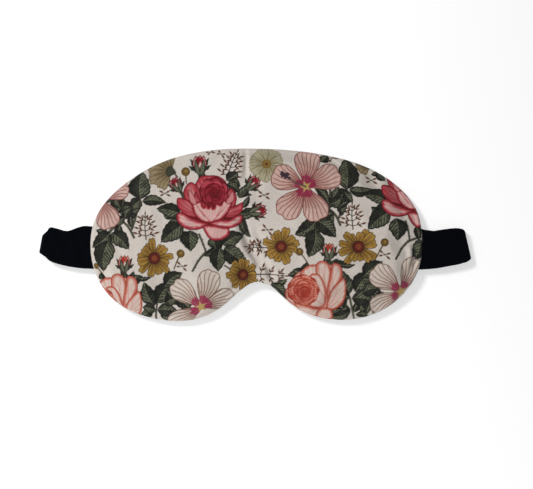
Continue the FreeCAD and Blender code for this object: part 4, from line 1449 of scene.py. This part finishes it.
def stitches():
    """The seam's lockstitch, round the edge between front and back."""
    line = curve(EDGE, closed=True, n=12)
    nrm = np.stack([np.roll(line, -1, 0)[:, 1] - np.roll(line, 1, 0)[:, 1],
                    np.roll(line, 1, 0)[:, 0] - np.roll(line, -1, 0)[:, 0]], 1)
    nrm /= np.hypot(*nrm.T)[:, None]
    if (nrm * (line - HUB)).sum() < 0:
        nrm = -nrm
    mid = line - nrm * 0.75
    seg = np.hypot(*(np.roll(mid, -1, 0) - mid).T)
    s = np.concatenate([[0], np.cumsum(seg)])
    total = s[-1]
    mid = np.vstack([mid, mid[:1]])
    n_st = int(total / 2.6)
    verts, faces = [], []
    for k_ in range(n_st):
        a0 = total * k_ / n_st
        pts = []
        for f in (0.06, 0.25, 0.5, 0.75, 0.94):
            x = np.interp(a0 + f * total / n_st, s, mid[:, 0])
            y = np.interp(a0 + f * total / n_st, s, mid[:, 1])
            pts.append((x, y, Z_SEAM - 0.02 - 0.12 * math.cos(2 * math.pi * (f - 0.5))))
        pts = np.array(pts)
        pts[:, 2] -= droop(pts[:, :2])
        t_ = pts[-1] - pts[0]
        t_ /= np.linalg.norm(t_)
        u_ = np.cross(t_, (0, 0, 1))
        base = len(verts)
        for i_, q_ in enumerate(pts):
            rad = 0.16 if 0 < i_ < 4 else 0.09
            for j_ in range(6):
                a_ = math.pi * j_ / 3
                verts.append(q_ + rad * (math.cos(a_) * u_ + math.sin(a_) * np.array([0, 0, 1.0])))
        for i_ in range(4):
            for j_ in range(6):
                v0, v1 = base + i_ * 6 + j_, base + i_ * 6 + (j_ + 1) % 6
                faces.append((v0, v0 + 6, v1 + 6, v1))
        faces.append([base + j_ for j_ in range(6)])
        faces.append([base + 24 + j_ for j_ in range(6)][::-1])
    return new_mesh("seam_thread", verts, faces)


thread = stitches()

for o, nodes, slot_ in ((front, ("front_panel_left", "front_panel_right"), "floral_cotton"),
                        (back, ("back_panel_left", "back_panel_right"), "backing_cloth"),
                        (wad, ("padding_front_left", "padding_front_right"), "wadding"),
                        (wad_back, ("padding_back_left", "padding_back_right"), "wadding"),
                        (lining, ("blackout_lining_left", "blackout_lining_right"), "blackout_cloth"),
                        (thread, ("seam_thread_left", "seam_thread_right"), "thread")):
    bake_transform(o)
    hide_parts(*nodes)

casing = build_strap("casing")
elastic = build_strap("elastic")

cotton = print_cloth()
black = plain_cloth("backing_cloth", (0.012, 0.013, 0.016), 0.4, 0.8, 0.25, 0.00006, 0.2)
knit = plain_cloth("strap_knit", STRAP_COL, 0.7, 1.0, STRAP_SHEEN, 0.00018, 0.35, 240.0, (0.45, 0.62, 0.9), 0.06)
tape = plain_cloth("elastic_tape", (0.02, 0.02, 0.022), 0.8, 0.7, 0.1, 0.0002, 0.2)
fill = plain_cloth("wadding", (0.78, 0.77, 0.74), 2.2, 0.95, 0.3, 0.0004, 0.1, 60.0)
dense = plain_cloth("blackout_cloth", (0.015, 0.015, 0.016), 0.35, 0.7, 0.1, 0.00005, 0.2)
yarn = plain_cloth("sewing_thread", (0.03, 0.03, 0.034), 0.12, 0.6, 0.1, 0.00003, 0.2)

for o, m in ((front, cotton), (back, black), (wad, fill), (wad_back, fill), (lining, dense), (thread, yarn)):
    o.data.materials.append(m)
for o in casing:
    o.data.materials.append(knit)
for o in elastic:
    o.data.materials.append(tape)
# the sewn-in strap ends inside the mask are carried over from the CAD model
OWN = {"strap_end_casing": plain_cloth("strap_knit_end", STRAP_COL, 0.7, 1.0, STRAP_SHEEN, 0.00018, 0.35, 240.0,
                                       (0.45, 0.62, 0.9), 0.06, True),
       "strap_end_elastic": plain_cloth("elastic_tape_end", (0.02, 0.02, 0.022), 0.8, 0.7, 0.1, 0.0002, 0.2, carried=True),
       "strap_tack": plain_cloth("tack_thread", (0.03, 0.03, 0.034), 0.12, 0.6, 0.1, 0.00003, 0.2, carried=True)}
for key, m in OWN.items():
    for s in ("left", "right"):
        o = frame["nodes"][f"{key}_{s}"]
        o = o if hasattr(o, "data") else bpy.data.objects[o]
        o.data.materials.clear()
        o.data.materials.append(m)

# ------------------------------------------------------- stage and lighting --

def plane(name, size, z):
    me = bpy.data.meshes.new(name)
    s_ = size / 2
    me.from_pydata([(-s_, -s_, z), (s_, -s_, z), (s_, s_, z), (-s_, s_, z)], [], [(0, 1, 2, 3)])
    o = bpy.data.objects.new(name, me)
    bpy.context.scene.collection.objects.link(o)
    return o


floor = plane("floor", 16.0, 0.0)
fm, ft, fb = material("white_table")
fb.inputs["Base Color"].default_value = (FLOOR, FLOOR, FLOOR, 1)
fb.inputs["Emission Color"].default_value = (1, 1, 1, 1)
fb.inputs["Emission Strength"].default_value = FLOOR_GLOW
fb.inputs["Roughness"].default_value = 0.9
fb.inputs["Specular IOR Level"].default_value = 0.1
floor.data.materials.append(fm)

world = bpy.data.worlds.new("studio")
world.use_nodes = True
world.node_tree.nodes["Background"].inputs["Color"].default_value = (1.0, 1.0, 1.0, 1)
world.node_tree.nodes["Background"].inputs["Strength"].default_value = WORLD
bpy.context.scene.world = world


def area(name, where, size, power, shadow):
    l = bpy.data.lights.new(name, "AREA")
    l.shape = "DISK"
    l.size = size
    l.energy = power
    l.use_shadow = shadow
    if hasattr(l, "cycles") and hasattr(l.cycles, "cast_shadow"):
        l.cycles.cast_shadow = shadow
    o = bpy.data.objects.new(name, l)
    bpy.context.scene.collection.objects.link(o)
    o.location = where
    o.rotation_euler = (Vector((0, 0, 0)) - Vector(where)).to_track_quat("-Z", "Y").to_euler()
    return o


for spec in LIGHTS:
    area(*spec)

view = bpy.context.scene.view_settings
view.view_transform = "Standard"
view.look = "None"
view.exposure = 0.0
view.gamma = 1.0

cam = bpy.data.cameras.new("camera")
cam.lens = 90
cam.sensor_width = 36
cam.clip_start, cam.clip_end = 0.01, 20
co = bpy.data.objects.new("camera", cam)
bpy.context.scene.collection.objects.link(co)
WIDE = 533 * 0.633 * MM
co.location = ((266.5 - 256.35) * 0.633 * MM, -(244.5 - 234.65) * 0.633 * MM, 0.008 + WIDE * cam.lens / cam.sensor_width)
co.rotation_euler = (0, 0, 0)
bpy.context.scene.camera = co

import json
